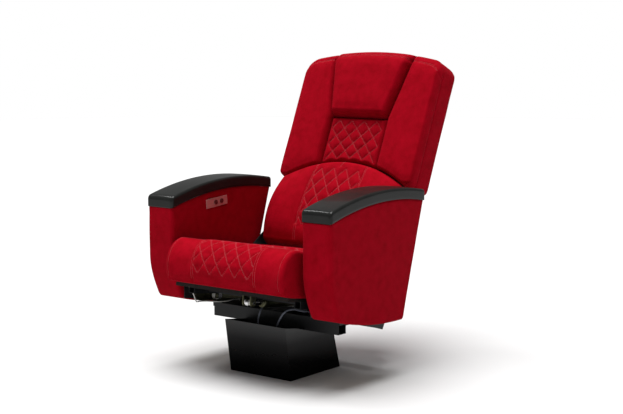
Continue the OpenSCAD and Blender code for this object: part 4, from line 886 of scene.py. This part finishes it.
# Arm caps: smooth shells with a soft front edge
def make_cap(side):
    name = "left" if side > 0 else "right"
    front_y, rear_y, front_r, rear_r, plan_r, r, lip = 257, 253, 13, 6, 9, 9, 2
    length = front_y + rear_y
    rings = []
    for d in steps(front_r, rear_r, length, 9, 6, 44):
        y, d1 = d - front_y, length - d
        end = min(edge(d, plan_r), edge(d1, rear_r))
        half = ARM_HALF + lip - plan_r * (1 - end)
        top = cap_top(y) - front_r * (1 - edge(d, front_r)) - rear_r * (1 - edge(d1, rear_r))
        low = arm_over(y) + 0.3
        ring = [(half, low + 1.0), (half - 1.0, low)]
        ring += [(mix(half - 1, 1 - half, k / 6), low) for k in range(1, 6)] + [(1 - half, low), (-half, low + 1.0)]
        ring += [(-half, mix(low + 1, top - r, k / 4)) for k in range(1, 4)]
        ring += [(-half + r - r * math.cos(a), top - r + r * math.sin(a))
                 for a in (math.pi / 2 * k / 7 for k in range(8))]
        ring += [(mix(-half + r, half - r, k / 10), top + 0.9 * math.sin(math.pi * k / 10) * end)
                 for k in range(1, 10)]
        ring += [(half - r + r * math.sin(a), top - r + r * math.cos(a))
                 for a in (math.pi / 2 * k / 7 for k in range(8))]
        ring += [(half, mix(top - r, low + 1, k / 4)) for k in range(1, 4)]
        rings.append([(side * ARM_CX + x, y, z) for x, z in ring])
    P = np.array(rings)
    m, n = P.shape[:2]
    faces = [f[::-1] for f in grid_faces(m, n, True)]
    verts = list(P.reshape(-1, 3))
    for end in (0, m - 1):
        ring = P[end]
        centre = ring.mean(0)
        base = len(verts)
        verts.extend(mix(ring, centre, 0.25))
        verts.append(centre)
        for j in range(n):
            k = (j + 1) % n
            q = (end * n + j, end * n + k, base + k, base + j)
            t = (base + j, base + k, base + n)
            faces += [q, t] if end else [q[::-1], t[::-1]]
    ob = add_mesh("arm_cap_%s_shell" % name, verts, faces, mats["cap"])
    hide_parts("arm_cap_" + name)
    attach(ob, "base")


# Rear cover: the part's shell, remeshed, rounded and sewn
def outline_back(inset):
    pts = [(252 - inset, inset - 84), (252 - inset, WING_LOW + inset)]
    pts += [(WING_HALF - 20 + (20 - inset) * math.cos(a), WING_LOW + 20 + (20 - inset) * math.sin(a))
            for a in (math.radians(k) for k in range(-90, 1, 18))]
    for k in range(0, 91, 15):
        a = math.radians(k)
        x = WING_HALF - 40 + (40 - inset) * math.cos(a)
        pts.append((x, crest(x) - 40 + (40 - inset) * math.sin(a)))
    pts += [(mix(WING_HALF - 40, 0, k / 10), crest(mix(WING_HALF - 40, 0, k / 10)) - inset) for k in range(1, 11)]
    return pts + [(-x, w) for x, w in reversed(pts[:-1])]


def make_cover():
    source = nodes["rear_cover"]
    me = source.data.copy()
    ob = bpy.data.objects.new("rear_cover_soft", me)
    scene.collection.objects.link(ob)
    r = ob.modifiers.new("Remesh", "REMESH")
    r.mode = "VOXEL"
    r.voxel_size = 0.005
    s = ob.modifiers.new("Smooth", "SMOOTH")
    s.factor = 0.5
    s.iterations = 6
    made = bpy.data.meshes.new_from_object(ob.evaluated_get(bpy.context.evaluated_depsgraph_get()))
    ob.modifiers.clear()
    ob.data = made
    made.materials.clear()
    made.materials.append(mats["fabric"])
    made.polygons.foreach_set("use_smooth", [True] * len(made.polygons))
    co = np.array([v.co for v in made.vertices]) / MM
    no = np.array([v.normal for v in made.vertices])
    x, y, z = co.T - [[0], [PIVOT_Y], [PIVOT_Z]]
    v = y * math.cos(RAKE) - z * math.sin(RAKE)
    w = y * math.sin(RAKE) + z * math.cos(RAKE)
    rear = np.clip((v - 60) / 12, 0, 1)
    span = np.clip(1 - (x / 262) ** 2, 0, 1) * np.clip(1 - ((w - 280) / 340) ** 2, 0, 1)
    lift = 2.5 * rear * np.sqrt(span)
    lift += np.array([noise.noise(Vector(p) / 80) for p in co]) * 0.8
    co += no * lift[:, None]
    for k, vert in enumerate(made.vertices):
        vert.co = co[k] * MM
    made.update()
    box_uv(ob)
    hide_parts("rear_cover")
    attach(ob, "back")
    ring = [on_back(px, 76, pw) for px, pw in outline_back(17) if pw > -70]
    sew("rear_panel_stitching", ob, "back", [ring], pitch=5.0, length=3.8)


make_lumbar()
make_panel()
make_bolster()
for side in (1, -1):
    make_wing(side)
make_seat()
for side in (1, -1):
    make_arm(side)
for side in (1, -1):
    make_cap(side)
make_cover()

# Materials of the parts that stay as they are, and a fine bevel on their hard edges
for name, ob in nodes.items():
    material = mats["lead" if name == "switch_cable" else slots[name]]
    if not ob.data.materials:
        ob.data.materials.append(material)
    for k in range(len(ob.data.materials)):
        ob.data.materials[k] = material
for name in ("shroud", "front_rail", "rear_rail", "beams", "side_plate_left", "side_plate_right", "head_plate",
             "switch_plate", "control_box", "power_supply", "actuator_gearbox"):
    ob = nodes[name]
    weld = ob.modifiers.new("Weld", "WELD")
    weld.merge_threshold = 0.00001
    bevel = ob.modifiers.new("Bevel", "BEVEL")
    bevel.width = 0.0016 if name == "shroud" else 0.0012 if "rail" in name or name == "beams" else 0.0006
    bevel.segments = 3
    bevel.limit_method = "ANGLE"
    bevel.angle_limit = math.radians(40)
    bevel.harden_normals = True

# Floor and studio light
FLOOR_R, FLOOR_SIDES = 14.0, 96
floor = bpy.data.meshes.new("floor")
turns = (2 * math.pi * k / FLOOR_SIDES for k in range(FLOOR_SIDES))
ring = [(FLOOR_R * math.cos(a), FLOOR_R * math.sin(a), -0.0005) for a in turns]
floor.from_pydata(ring, [], [tuple(range(FLOOR_SIDES))])
m, t, s = new_material("floor")
s.inputs["Base Color"].default_value = (0.58, 0.58, 0.58, 1)
s.inputs["Roughness"].default_value = 0.9
s.inputs["Specular IOR Level"].default_value = 0.1
floor.materials.append(m)
floor_ob = bpy.data.objects.new("floor", floor)
scene.collection.objects.link(floor_ob)


def sun(name, strength, elevation, azimuth, angle):
    data = bpy.data.lights.new(name, "SUN")
    data.energy = strength
    data.angle = math.radians(angle)
    ob = bpy.data.objects.new(name, data)
    scene.collection.objects.link(ob)
    ob.rotation_euler = (math.radians(90 - elevation), 0, math.radians(azimuth))


sun("key", 4.9, 84, -30, 45)
sun("edge_light", 0.45, 51, -79, 10)

world = bpy.data.worlds.new("studio")
scene.world = world
world.use_nodes = True
t = world.node_tree
t.nodes.clear()
path = t.nodes.new("ShaderNodeLightPath")
choose = t.nodes.new("ShaderNodeMixShader")
out = t.nodes.new("ShaderNodeOutputWorld")
t.links.new(path.outputs["Is Camera Ray"], choose.inputs["Fac"])
for socket, strength in ((1, 0.3), (2, 1.0)):
    back = t.nodes.new("ShaderNodeBackground")
    back.inputs["Color"].default_value = (1, 1, 1, 1)
    back.inputs["Strength"].default_value = strength
    t.links.new(back.outputs[0], choose.inputs[socket])
t.links.new(choose.outputs[0], out.inputs["Surface"])
